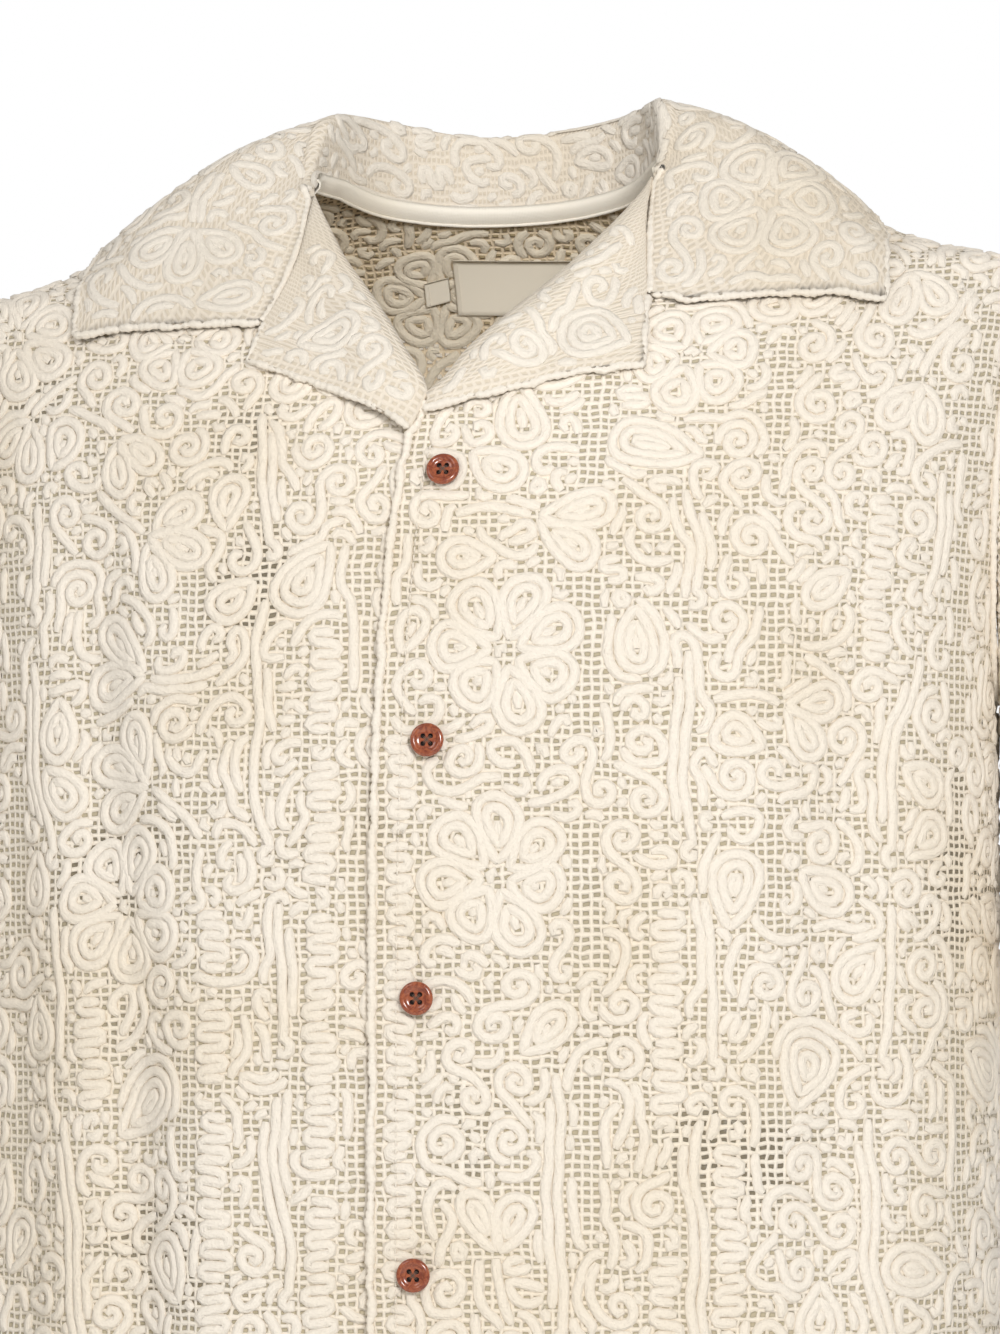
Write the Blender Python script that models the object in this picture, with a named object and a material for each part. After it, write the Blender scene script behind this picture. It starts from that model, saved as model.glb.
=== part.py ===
"""Camp collar shirt with short sleeves, in cream corded lace, filled out as when worn.

The cloth is hollow. Every panel is a wall between two grids of points: the outer grid lies on one
shared body surface, and the inner grid is the same surface moved in by the cloth's thickness.
Lengths are in millimetres here and are turned into metres when a mesh is made.
X is the wearer's left, -Y the front and +Z up. The origin is the middle of the neck, where the
wearer's shoulders hold the shirt.
"""

import math
from functools import partial

import bmesh
import bpy
from mathutils import Vector

MM = 0.001

# Cloth and seams
CLOTH = 2.4  # corded net
COLLAR_CLOTH = 2.6  # collar and lapels are two plies
SEAM_GAP = 0.3
SEAM_ABOVE = 0.7  # the collar's lower edge over the neck edge
LAY_GAP = 0.4  # between cloth that lies on cloth
UNDER_SINK = 3.2  # the right front lies this far under the left one
FACET_GAP = 0.8  # behind the back, whose inner face is made of flat facets
CORD_RAISE = 1.4  # the long band cords stand proud of the net
CORD_HALF = 2.6

# Levels
HEM = -700.0
UNDERARM = -235.0
SHOULDER_TIP = -47.0
BREAK = -104.0  # where the lapels start to roll
NECK_TOP = 6.5
TILT = 0.028  # the wearer's left shoulder sits higher
TILT_FADE = (-420.0, -120.0)

# The body surface, one ring for each level
RING_COLUMNS = ("level", "half_width", "front_depth", "back_depth", "squareness")
RINGS = (
    (8, 76, 17, 44, 2.0),
    (-1, 104, 24, 62, 2.0),
    (-10, 133, 31, 72, 2.0),
    (-22, 171, 40, 83, 2.0),
    (-34, 202, 49, 92, 2.0),
    (-47, 246, 58, 100, 2.05),
    (-60, 246, 68, 106, 2.1),
    (-80, 243, 84, 112, 2.12),
    (-104, 239, 98, 117, 2.15),
    (-150, 233, 117, 122, 2.2),
    (-235, 227, 131, 123, 2.3),
    (-320, 227, 135, 119, 2.3),
    (-450, 227, 135, 114, 2.3),
    (-600, 230, 133, 115, 2.25),
    (-700, 233, 131, 117, 2.2),
)

# Largest folds: the line each follows from its top to its foot, half its width, and how far it
# sinks (a negative depth stands proud)
FOLDS = (
    # side, x_top, level_top, x_foot, level_foot, half_width, depth
    ("front", -158, -150, -150, -330, 17, 8),
    ("front", -137, -300, -128, -700, 16, 9),
    ("front", -98, -330, -96, -700, 20, -4),
    ("front", -196, -235, -188, -560, 15, 5),
    ("front", 60, -330, 52, -520, 30, 5),
    ("front", 172, -190, 160, -520, 20, 6),
    ("front", 120, -430, 112, -700, 18, 4),
    ("back", -150, -150, -140, -700, 22, 8),
    ("back", -60, -330, -64, -700, 24, 6),
    ("back", 48, -260, 56, -700, 22, 6),
    ("back", 146, -140, 138, -700, 22, 8),
)

# Front edges: the top front's edge, the under front's edge, and the line of the buttons
EDGE_COLUMNS = ("level", "top_edge", "under_edge", "button_line")
EDGES = (
    (-104, -8.5, -9.5, 1.0),
    (-112, -11.5, -2, 1.0),
    (-120, -15, 6, 1.0),
    (-138, -18, 14, 0.8),
    (-175, -21, 16, -0.5),
    (-252, -24.5, 15, -2.6),
    (-359, -26, 12, -6.5),
    (-474, -26, 11, -7.7),
    (-700, -27, 10, -9),
)

# Roll lines, from the break up to the neck side, for each half
ROLL_COLUMNS = ("level", "x_right_front", "x_left_front")
ROLLS = (
    (-104, -9.5, -8.5),
    (-97, -12, -1),
    (-84, -20.5, 8),
    (-66, -32.5, 26),
    (-50, -44.5, 43),
    (-36, -55, 56),
    (-20, -64.5, 69),
    (-8, -71.5, 76.5),
    (0, -75.5, 79),
    (6.5, -77.5, 79.5),
)

# Armhole, an oval on the body surface
ARMHOLE_MIDDLE = (SHOULDER_TIP + UNDERARM) / 2
ARMHOLE_HALF = (SHOULDER_TIP - UNDERARM) / 2
ARMHOLE_FRONT = 30.0
ARMHOLE_BACK = 44.0
ARMHOLE_ROWS = (-235, -230, -216, -190, -160, -130, -104, -84, -66, -55, -49, -47)

# Sleeve: the crown line over the top and the line under the arm, as x and level
CROWN = ((246, -47), (268, -57), (297, -94), (320, -180), (337, -296))
UNDER = ((227, -235), (227.8, -270), (229, -305), (231, -340), (233, -368))
SLEEVE_RINGS = 9
CUFF_DEPTH = 64.0
SLEEVE_GAP = 0.9

# Collar: neck seam, fold line and outer edge by columns from the right front round the back
NECK_MIDDLE = 2.0
NECK_HALF = 76.0
NECK_BACK = 62.3
COLLAR_COLUMNS = ("seam_x", "seam_y", "fold_z", "edge_x", "edge_y")
COLLAR_HALF = (
    # from the gorge seam to the middle of the back, for the wearer's right side
    (-76.0, -18, 3, -87.5, -69.5),
    (-77.0, -12, 8, -107, -66.5),
    (-77.6, -6, 16, -130, -62.5),
    (-76.5, 1, 26, -152, -58),
    (-74, 9, 36.5, -173, -53.5),
    (-71, 18, 40, -174.5, -34),
    (-67, 28, 40.5, -171, -10),
    (-61.5, 37.5, 40, -164, 16),
    (-53.5, 46, 38.5, -154, 43),
    (-42.5, 53, 37.3, -130, 67),
    (-29.5, 58.3, 36.2, -96, 86),
    (-15, 61.3, 35.3, -50, 99),
    (0, 62.3, 35, 0, 104),
)
COLLAR_REST = 4.4  # from the body surface up to the collar's upper face, where the collar lies on it
LEFT_POINT_SHIFT = 9.0  # the wearer's left leaf ends in a longer point
RIGHT_FOLD_RISE = 4.0  # the fold stands higher behind the wearer's right side
RIGHT_FOLD_RISE_AT = (-52, 24)
LEAF_MIDDLE = 8.0  # the leaf falls away from this depth of the neck
FOLD_RADIUS = 4.2
FOLD_RADIUS_AT_GORGE = 3.0
FOLD_STEPS = (180, 130, 80, 30)
FALL_STEPS = (0.14, 0.3, 0.48, 0.66, 0.84, 1.0)
FALL_PUFF = 1.5

# Lapels: along the lower edge from the roll line out to the corner, then the notch on the gorge
LAPEL_COLUMNS = ("share", "x", "level")
RIGHT_LAPEL_EDGE = (
    (0, -16.5, -118),
    (0.16, -28, -111.5),
    (0.36, -42, -104),
    (0.56, -57, -97),
    (1, -89.5, -83.5),
)
LEFT_LAPEL_EDGE = (
    (0, -10, -110.5),
    (0.2, 7.7, -107.7),
    (0.37, 23.6, -104.2),
    (0.7, 55.5, -96.2),
    (1, 82.5, -94.3),
)

# Gorge seams, where collar and lapel meet: from the neck side to the notch, with the line's bow
# side, neck_x, neck_level, notch_x, notch_level, bow
RIGHT_GORGE = (-1, -74.5, -3.5, -86, -66, 4)
LEFT_GORGE = (1, 78, -3.5, 82, -61, 1)
GORGE_GAP = 0.7  # each side of the seam line
LAPEL_ROLL_LIFT = 5.0
ROLL_OVER = 1.2
LAPEL_ALONG = 12
LAPEL_FINER_LOW = 1.3  # rows lie closer together near the break
EDGE_CLEAR = 1.0
LAPEL_ACROSS = (0, 0.06, 0.16, 0.32, 0.5, 0.68, 0.84, 1)

# Neck tape and labels, on the inside of the back
TAPE_HEIGHT = 7.8
TAPE_ABOVE = 2.0  # it covers the seam
TAPE_CLOTH = 1.0
TAPE_TURN = 55  # degrees each side of the middle of the back
TAPE_STEPS = 26
LABEL = {"x": (-27.5, 38.5), "level": (-17, -40.5), "slope": 0.05}
SIZE_TAB = {"x": (-42, -30.5), "level": (-26.5, -36.5), "slope": -0.2}
LABEL_CLOTH = 1.0

# Buttons
BUTTON_LEVELS = (-138, -252, -359, -473, -587)
BUTTON_RADIUS = 7.1
BUTTON_THICK = 3.1
BUTTON_RIM = 2.3
BUTTON_DISH = 0.9
BUTTON_HOLE = 0.95
BUTTON_HOLE_PITCH = 3.3
BUTTON_SIDES = 18
BUTTON_HOLE_SIDES = 8

FRONT_WIDTH = 270.0
BACK_WIDTH = 560.0
ARMHOLE_DRAW = 2.5
BODY_LEVELS = (-700, -635, -570, -505, -440, -380, -325, -275)
SHOULDER_LEVELS = (-40, -30, -22, -14, -7, 0, NECK_TOP)
FRONT_SHARES = (0, 0.05, 0.11, 0.18, 0.25, 0.32, 0.39, 0.46, 0.53, 0.6, 0.66, 0.72, 0.78, 0.84, 0.9, 0.95, 1)
# Long band cords stitched up and down the cloth: each one's share of its panel's width, and the
# levels between which it sinks into the net again
# share, full_below, gone_above
LEFT_BANDS = ((0.42, -200, -120), (0.65, -140, -70))
RIGHT_BANDS = ((0.26, -130, -60), (0.62, -300, -240))
BACK_SHARES = (0, 0.03, 0.07, 0.12, 0.17, 0.22, 0.28, 0.34, 0.4, 0.45, 0.5)
BACK_BANDS = ((0.2, -300, -240), (0.37, -140, -70))

COLOURS = {
    "corded_lace": (0.84, 0.77, 0.64, 1),
    "neck_tape": (0.83, 0.76, 0.62, 1),
    "label_cloth": (0.85, 0.78, 0.66, 1),
    "button_nut": (0.33, 0.09, 0.04, 1),
}
ROUGHNESS = {"corded_lace": 0.9, "neck_tape": 0.8, "label_cloth": 0.7, "button_nut": 0.35}


def table(rows, columns, name):
    """A smooth curve through a table's named column, by its first column; it never overshoots."""
    rows = sorted(rows)
    at = [row[0] for row in rows]
    value = [row[columns.index(name)] for row in rows]
    steps = [b - a for a, b in zip(at, at[1:])]
    slopes = [(b - a) / step for a, b, step in zip(value, value[1:], steps)]
    turns = [slopes[0]]
    for before, after in zip(slopes, slopes[1:]):
        turns.append(0 if before * after <= 0 else 2 * before * after / (before + after))
    turns.append(slopes[-1])

    def curve(x):
        x = min(max(x, at[0]), at[-1])
        i = max(k for k in range(len(steps)) if at[k] <= x)
        t = (x - at[i]) / steps[i]
        rise = value[i + 1] - value[i]
        bend_in = turns[i] * steps[i] - rise
        bend_out = rise - turns[i + 1] * steps[i]
        return value[i] + rise * t + t * (1 - t) * (bend_in * (1 - t) + bend_out * t)

    return curve


def smooth(low, high, x):
    t = min(max((x - low) / (high - low), 0), 1)
    return t * t * (3 - 2 * t)


def mix(a, b, t):
    return a + (b - a) * t


half_width, front_depth, back_depth, squareness = (
    table(RINGS, RING_COLUMNS, name) for name in RING_COLUMNS[1:]
)
top_edge, under_edge, button_line = (table(EDGES, EDGE_COLUMNS, name) for name in EDGE_COLUMNS[1:])
right_roll, left_roll = (table(ROLLS, ROLL_COLUMNS, name) for name in ROLL_COLUMNS[1:])


def fold_depth(x, y, z):
    """How far the folds sink the body surface at a point."""
    side = "front" if y < 0 else "back"
    depth = 0
    for name, x_top, level_top, x_foot, level_foot, half, sink in FOLDS:
        if name != side:
            continue
        along = (z - level_top) / (level_foot - level_top)
        fade_foot = 1 if level_foot <= HEM else smooth(1.25, 0.7, along)
        across = (x - mix(x_top, x_foot, along)) / half
        depth += sink * smooth(-0.25, 0.3, along) * fade_foot * math.exp(-across * across)
    return depth * smooth(2, 30, abs(y))


def lean(point):
    """The whole shirt sits a little higher on the wearer's left shoulder."""
    share = smooth(*TILT_FADE, point.z)
    return point + Vector((0, 0, point.x * TILT * share))


def ring_point(turn, level):
    """A point of the smooth body: turn in degrees from the middle front, towards the wearer's left."""
    side, ahead = math.sin(math.radians(turn)), math.cos(math.radians(turn))
    square = squareness(level)
    reach = (abs(side) ** square + abs(ahead) ** square) ** (-1 / square)
    depth = front_depth(level) if ahead > 0 else back_depth(level)
    return Vector((half_width(level) * reach * side, -depth * reach * ahead, level))


def turn_at(x, level):
    """The front turn where the body surface has this x."""
    low, high = -90.0, 90.0
    for _ in range(30):
        middle = (low + high) / 2
        if ring_point(middle, level).x < x:
            low = middle
        else:
            high = middle
    return (low + high) / 2


def turn_at_depth(y, level):
    """The turn on the wearer's left where the body surface has this y."""
    low, high = 0.0, 180.0
    for _ in range(34):
        middle = (low + high) / 2
        if ring_point(middle, level).y < y:
            low = middle
        else:
            high = middle
    return (low + high) / 2


def body_normal(turn, level):
    """Outward normal of the smooth body surface."""
    step = 0.4
    across = ring_point(turn + step, level) - ring_point(turn - step, level)
    high, low = min(level + step, RINGS[0][0]), max(level - step, HEM)
    upward = ring_point(turn, high) - ring_point(turn, low)
    return across.cross(upward).normalized()


def body(turn, level, out=0.0):
    """A point on the body surface with its folds, moved out along the normal."""
    point = ring_point(turn, level)
    normal = body_normal(turn, level)
    return lean(point + normal * (out - fold_depth(*point)))


def level_at(x, y):
    """The level of the shoulder and chest surface above a place in plan."""
    low, high = -330.0, float(RINGS[0][0])
    for _ in range(30):
        middle = (low + high) / 2
        depth = front_depth(middle) if y < 0 else back_depth(middle)
        square = squareness(middle)
        if (abs(x) / half_width(middle)) ** square + (abs(y) / depth) ** square < 1:
            low = middle
        else:
            high = middle
    return (low + high) / 2


def armhole_depth(level, reach):
    """How far the armhole's edge lies in front of, or behind, the shoulder line."""
    across = (level - ARMHOLE_MIDDLE) / ARMHOLE_HALF
    return reach * math.sqrt(max(1 - across * across, 0))


def side_turn(level, front):
    """The turn where a panel ends at the side seam, the armhole or the shoulder seam."""
    reach = ARMHOLE_FRONT if front else ARMHOLE_BACK
    inside = SHOULDER_TIP > level > UNDERARM
    depth = max(armhole_depth(level, reach) if inside else 0, SEAM_GAP / 2)
    return turn_at_depth(-depth if front else depth, level)


def new_object(name, mesh, material):
    mesh.materials.append(material)
    made = bpy.data.objects.new(name, mesh)
    shirt.objects.link(made)
    return made


def plain_material(name):
    material = bpy.data.materials.new(name)
    material.use_nodes = True
    shader = material.node_tree.nodes["Principled BSDF"]
    shader.inputs["Base Color"].default_value = COLOURS[name]
    shader.inputs["Roughness"].default_value = ROUGHNESS[name]
    return material


def wall(name, outer, inner, material, round_tube=False):
    """A closed cloth wall between two grids of points; a tube's rows join end to end."""
    shape = bmesh.new()
    sheets = [[[shape.verts.new(p * MM) for p in row] for row in grid] for grid in (outer, inner)]
    rows, columns = len(outer), len(outer[0])
    last = columns if round_tube else columns - 1
    for sheet in sheets:
        for i in range(rows - 1):
            for j in range(last):
                k = (j + 1) % columns
                shape.faces.new((sheet[i][j], sheet[i][k], sheet[i + 1][k], sheet[i + 1][j]))
    rims = [[(i, j) for j in range(columns)] for i in (0, rows - 1)]
    if not round_tube:
        rims += [[(i, j) for i in range(rows)] for j in (0, columns - 1)]
    for rim in rims:
        pairs = list(zip(rim, rim[1:]))
        if round_tube:
            pairs.append((rim[-1], rim[0]))
        for (a, b), (c, d) in pairs:
            quad = (sheets[0][a][b], sheets[0][c][d], sheets[1][c][d], sheets[1][a][b])
            shape.faces.new(quad)
    bmesh.ops.recalc_face_normals(shape, faces=shape.faces)
    mesh = bpy.data.meshes.new(name)
    shape.to_mesh(mesh)
    shape.free()
    mesh.shade_smooth()
    mesh.set_sharp_from_angle(angle=math.radians(50))
    return new_object(name, mesh, material)


def grid_normals(grid, sign):
    """A normal at each point of a grid, from its neighbours."""
    rows, columns = len(grid), len(grid[0])
    normals = []
    for i in range(rows):
        row = []
        for j in range(columns):
            down = grid[min(i + 1, rows - 1)][j] - grid[max(i - 1, 0)][j]
            across = grid[i][min(j + 1, columns - 1)] - grid[i][max(j - 1, 0)]
            row.append(across.cross(down).normalized() * sign)
        normals.append(row)
    return normals


def moved(grid, normals, out):
    return [[p + n * out for p, n in zip(*rows)] for rows in zip(grid, normals)]


def with_bands(shares, bands, width):
    """A panel's columns, with three for each band cord: foot, top and foot. Each column gives its
    share of the width and how high the cord stands there at a level."""
    half = CORD_HALF / width
    clear = [share for share in shares if all(abs(share - band[0]) > 2 * half for band in bands)]
    columns = [(share, lambda level: 0.0) for share in clear]
    for middle, full_below, gone_above in bands:
        columns += [(middle - half, lambda level: 0.0), (middle + half, lambda level: 0.0)]
        columns.append((middle, partial(band_height, full_below, gone_above)))
    return sorted(columns, key=lambda column: column[0])


def band_height(full_below, gone_above, level):
    return CORD_RAISE * smooth(gone_above, full_below, level)


def turn_across(start, end, side, share):
    """A column's turn: the columns stay straight down the body, and those by the side seam draw in
    where the armhole narrows the panel."""
    return mix(start, side, share) - (side - end) * share**ARMHOLE_DRAW


def panel(name, rows, columns, edges, sink=None):
    """A front: columns by their share of the way from the front edge to the side."""
    outer, inner = [], []
    for level in rows:
        front, end, side = edges(level)
        outer_row, inner_row = [], []
        for share, height in columns:
            turn = turn_across(front, end, side, share)
            into = sink(ring_point(turn, level).x) if sink else 0
            outer_row.append(body(turn, level, height(level) - into))
            inner_row.append(body(turn, level, -CLOTH - into))
        outer.append(outer_row)
        inner.append(inner_row)
    return wall(name, outer, inner, lace)


def panel_levels():
    return sorted({*BODY_LEVELS, *ARMHOLE_ROWS, *SHOULDER_LEVELS})


def make_fronts():
    """The wearer's left front laps over the right one, which sinks under it."""

    def left_edges(level):
        x = top_edge(level) if level < BREAK else left_roll(level)
        return turn_at(x, level), side_turn(level, True), 90

    def right_edges(level):
        x = under_edge(level) if level < BREAK else right_roll(level)
        return turn_at(x, level), -side_turn(level, True), -90

    def under_sink(x):
        return UNDER_SINK * smooth(-50, -30, x)

    left_columns = with_bands(FRONT_SHARES, LEFT_BANDS, FRONT_WIDTH)
    right_columns = with_bands(FRONT_SHARES, RIGHT_BANDS, FRONT_WIDTH)
    panel("front_left", panel_levels(), left_columns, left_edges)
    panel("front_right", panel_levels(), right_columns, right_edges, under_sink)


def neck_level(turn):
    """The back neck seam, an oval in plan, by its level on the body surface."""
    low, high = -20.0, float(RINGS[0][0])
    for _ in range(30):
        middle = (low + high) / 2
        point = ring_point(turn, middle)
        if math.hypot((point.x - NECK_MIDDLE) / NECK_HALF, point.y / NECK_BACK) > 1:
            low = middle
        else:
            high = middle
    return min((low + high) / 2, NECK_TOP)


def make_back():
    """One piece from side to side; its top rows bend down to follow the back neck."""
    halves = with_bands(BACK_SHARES, BACK_BANDS, BACK_WIDTH)
    outer, inner = [], []
    for level in panel_levels():
        end = side_turn(level, False)
        places = []
        for share, height in halves:
            turn = turn_across(180, end, 90, 1 - 2 * share)
            places.append((turn, height))
        places += [(360 - turn, height) for turn, height in places[-2::-1]]
        outer_row, inner_row = [], []
        for turn, height in places:
            drop = (NECK_TOP - neck_level(turn)) * smooth(-60, NECK_TOP, level)
            outer_row.append(body(turn, level - drop, height(level)))
            inner_row.append(body(turn, level - drop, -CLOTH))
        outer.append(outer_row)
        inner.append(inner_row)
    wall("back", outer, inner, lace)


def sleeve_line(points):
    """A smooth curve through the points of the crown or the underarm line."""
    total, shares = 0, [0]
    for a, b in zip(points, points[1:]):
        total += math.dist(a, b)
        shares.append(total)
    along = [(length / total, *point) for length, point in zip(shares, points)]
    columns = ("share", "x", "level")
    return table(along, columns, "x"), table(along, columns, "level")


def sleeve_grids(side):
    """Rings from the armhole's own edge to the round cuff."""
    crown, under = sleeve_line(CROWN), sleeve_line(UNDER)
    places = [(level, ARMHOLE_FRONT, -1) for level in ARMHOLE_ROWS]
    places += [(level, ARMHOLE_BACK, 1) for level in reversed(ARMHOLE_ROWS[1:-1])]
    ring = []
    for level, reach, facing in places:
        depth = armhole_depth(level, reach)
        edge = ring_point(turn_at_depth(facing * depth, level), level)
        height = (level - ARMHOLE_MIDDLE) / ARMHOLE_HALF
        ring.append((edge, height, facing, depth / reach))
    grid = []
    for i in range(SLEEVE_RINGS):
        t = i / (SLEEVE_RINGS - 1)
        t = mix(t * t, t, 0.6)
        top = Vector((crown[0](t), 0, crown[1](t)))
        low = Vector((under[0](t), 0, under[1](t)))
        keep = 1 - smooth(0, 0.75, t)
        row = []
        for edge, height, facing, round_share in ring:
            reach = mix(ARMHOLE_FRONT if facing < 0 else ARMHOLE_BACK, CUFF_DEPTH, smooth(0, 1, t))
            oval = (top + low) / 2 + (top - low) / 2 * height
            oval.y = facing * reach * round_share
            base_top = Vector((crown[0](0), 0, crown[1](0)))
            base_low = Vector((under[0](0), 0, under[1](0)))
            base = (base_top + base_low) / 2 + (base_top - base_low) / 2 * height
            base.y = edge.y
            row.append(oval + (edge - base) * keep)
        grid.append(row)
    for point in grid[0]:
        point.x += SLEEVE_GAP
    closed = [row[-1:] + row + row[:1] for row in grid]
    normals = [row[1:-1] for row in grid_normals(closed, 1)]
    middle = sum((p for row in grid for p in row), Vector()) / (len(grid) * len(grid[0]))
    outward = sum(n.dot(p - middle) for ns, ps in zip(normals, grid) for n, p in zip(ns, ps))
    inner = moved(grid, normals, -CLOTH if outward > 0 else CLOTH)
    if side < 0:
        grid, inner = (
            [[Vector((-p.x, p.y, p.z)) for p in row] for row in rows] for rows in (grid, inner)
        )
    return [[[lean(p) for p in row] for row in rows] for rows in (grid, inner)]


def make_sleeves():
    for name, side in (("sleeve_left", 1), ("sleeve_right", -1)):
        wall(name, *sleeve_grids(side), lace, round_tube=True)


def on_front(x, level, out):
    """A point over the front at this x and level."""
    return body(turn_at(x, level), level, out)


def collar_columns():
    """The collar's table for both sides, evened out with a column between each two."""
    middle, spread = RIGHT_FOLD_RISE_AT
    right = []
    for seam_x, seam_y, fold_z, *edge in COLLAR_HALF:
        behind = math.exp(-(((seam_x - middle) / spread) ** 2)) * smooth(5, 30, seam_y)
        right.append([seam_x, seam_y, fold_z + RIGHT_FOLD_RISE * behind, *edge])
    left = []
    for seam_x, seam_y, fold_z, edge_x, edge_y in COLLAR_HALF[-2::-1]:
        shift = LEFT_POINT_SHIFT * smooth(60, 170, abs(edge_x)) * smooth(5, -50, edge_y)
        left.append([-seam_x, seam_y, fold_z, shift - edge_x, edge_y + shift / 3])
    rows = [[k, *row] for k, row in enumerate(right + left)]
    curves = [table(rows, ("place", *COLLAR_COLUMNS), name) for name in COLLAR_COLUMNS]
    places = []
    for k in range(len(rows)):
        places.append(k)
        if k + 1 < len(rows):
            places.append(k + 0.5)
    return [[curve(place) for curve in curves] for place in places]


def gorge_point(gorge, share, aside):
    """The gorge seam's line by x and level, moved aside along x, away from the middle."""
    side, neck_x, neck_level_here, notch_x, notch_level, bow = gorge
    x = mix(neck_x, notch_x, share) - side * bow * math.sin(math.pi * share)
    return x + side * aside, mix(neck_level_here, notch_level, share)


def stand_and_fold(seam_x, seam_y, fold_z):
    """The stand rises from the neck seam and turns over at the fold line."""
    x, y = seam_x + NECK_MIDDLE, seam_y
    seam_z = level_at(x, y) + SEAM_ABOVE
    outward = Vector((seam_x, seam_y - LEAF_MIDDLE, 0)).normalized()
    radius = mix(FOLD_RADIUS_AT_GORGE, FOLD_RADIUS, smooth(5, 25, fold_z - seam_z))
    centre = max(fold_z - radius, seam_z + 1)
    section = [Vector((x, y, mix(seam_z, centre, share))) for share in (0, 0.5)]
    for angle in FOLD_STEPS:
        bend = math.radians(angle)
        over = outward * (radius * (1 + math.cos(bend)))
        section.append(Vector((x, y, centre + radius * math.sin(bend))) + over)
    return section


def collar_section(seam_x, seam_y, fold_z, edge_x, edge_y):
    """One section through the stand, the fold and the fall."""
    section = stand_and_fold(seam_x, seam_y, fold_z)
    start = section[-1]
    lift = max(start.z - level_at(start.x, start.y), COLLAR_REST)
    for share in FALL_STEPS:
        x, y = mix(start.x, edge_x, share), mix(start.y, edge_y, share)
        level = level_at(x, y)
        depth = front_depth(level) if y < 0 else back_depth(level)
        turn = math.degrees(math.atan2(x / half_width(level), -y / depth))
        stand_off = (lift - COLLAR_REST) * (1 - share**FALL_PUFF)
        above = body_normal(turn, level) * COLLAR_REST + Vector((0, 0, stand_off))
        section.append(Vector((x, y, level)) + above)
    return [lean(point) for point in section]


def gorge_section(seam_x, seam_y, fold_z, gorge):
    """The collar's end, along the gorge seam."""
    section = [lean(point) for point in stand_and_fold(seam_x, seam_y, fold_z)]
    for share in FALL_STEPS:
        x, level = gorge_point(gorge, share, GORGE_GAP)
        section.append(on_front(x, level, COLLAR_CLOTH + LAY_GAP))
    return section


def make_collar():
    values = collar_columns()
    columns = [collar_section(*row) for row in values[1:-1]]
    columns.insert(0, gorge_section(*values[0][:3], RIGHT_GORGE))
    columns.append(gorge_section(*values[-1][:3], LEFT_GORGE))
    rows = [[column[i] for column in columns] for i in range(len(columns[0]))]
    normals = grid_normals(rows, 1)
    middle_back = len(columns) // 2
    if normals[-1][middle_back].y < 0:
        normals = grid_normals(rows, -1)
    wall("collar", rows, moved(rows, normals, -COLLAR_CLOTH), lace)


def lapel_grid(edge_rows, gorge, roll):
    """The lapel lies on the front from its roll line to its free edge and the gorge seam."""
    side = gorge[0]
    edge_x, edge_level = (table(edge_rows, LAPEL_COLUMNS, name) for name in LAPEL_COLUMNS[1:])
    neck, notch = gorge_point(gorge, 0, -GORGE_GAP), gorge_point(gorge, 1, -GORGE_GAP)
    grid = []
    for i in range(LAPEL_ALONG + 1):
        t = i / LAPEL_ALONG
        start_level = mix(edge_level(0), neck[1], t**LAPEL_FINER_LOW)
        if start_level < BREAK:
            start_x = top_edge(start_level) + side * EDGE_CLEAR
        else:
            start_x = roll(start_level) - side * ROLL_OVER
        row = []
        for share in LAPEL_ACROSS:
            low = (edge_x(share), edge_level(share))
            high = gorge_point(gorge, share, -GORGE_GAP)
            near = (start_x, start_level)
            far = (mix(edge_x(1), notch[0], t), mix(edge_level(1), notch[1], t))
            blend = []
            for k in (0, 1):
                across = mix(near[k], far[k], share)
                along = mix(low[k], high[k], t)
                corners = mix(
                    mix((edge_x(0), edge_level(0))[k], neck[k], t),
                    mix((edge_x(1), edge_level(1))[k], notch[k], t),
                    share,
                )
                blend.append(across + along - corners)
            rolled = math.sin(math.pi * min(2 * share, 1)) * mix(0.35, 1, math.sin(math.pi * t))
            row.append(on_front(*blend, COLLAR_CLOTH + LAY_GAP + LAPEL_ROLL_LIFT * rolled))
        grid.append(row)
    return grid


def make_lapels():
    for name, edge, gorge, roll in (
        ("lapel_right", RIGHT_LAPEL_EDGE, RIGHT_GORGE, right_roll),
        ("lapel_left", LEFT_LAPEL_EDGE, LEFT_GORGE, left_roll),
    ):
        grid = lapel_grid(edge, gorge, roll)
        normals = grid_normals(grid, 1)
        if normals[LAPEL_ALONG // 2][4].y > 0:
            normals = grid_normals(grid, -1)
        wall(name, grid, moved(grid, normals, -COLLAR_CLOTH), lace)


def inside_back(turn, level, depth):
    return body(turn, level, -CLOTH - depth)


def make_neck_tape():
    """A plain woven tape over the back neck seam, inside."""
    grids = []
    for depth in (FACET_GAP, FACET_GAP + TAPE_CLOTH):
        rows = []
        for drop in (-TAPE_ABOVE, TAPE_HEIGHT - TAPE_ABOVE):
            row = []
            for k in range(TAPE_STEPS + 1):
                turn = mix(180 - TAPE_TURN, 180 + TAPE_TURN, k / TAPE_STEPS)
                row.append(inside_back(turn, neck_level(turn) - drop, depth))
            rows.append(row)
        grids.append(rows)
    wall("neck_tape", grids[0], grids[1], tape)


def back_turn_at(x, level):
    """The back turn where the body surface has this x."""
    low, high = 90.0, 270.0
    for _ in range(30):
        middle = (low + high) / 2
        if ring_point(middle, level).x > x:
            low = middle
        else:
            high = middle
    return (low + high) / 2


def make_label(name, place, columns, depth):
    """A small woven label, inside the back below the tape."""
    grids = []
    for deep in (depth, depth + LABEL_CLOTH):
        rows = []
        for level in place["level"]:
            row = []
            for k in range(columns + 1):
                x = mix(*place["x"], k / columns)
                lower = level - place["slope"] * (x - place["x"][0])
                row.append(inside_back(back_turn_at(x, lower), lower, deep))
            rows.append(row)
        grids.append(rows)
    wall(name, grids[0], grids[1], label_cloth)


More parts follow.
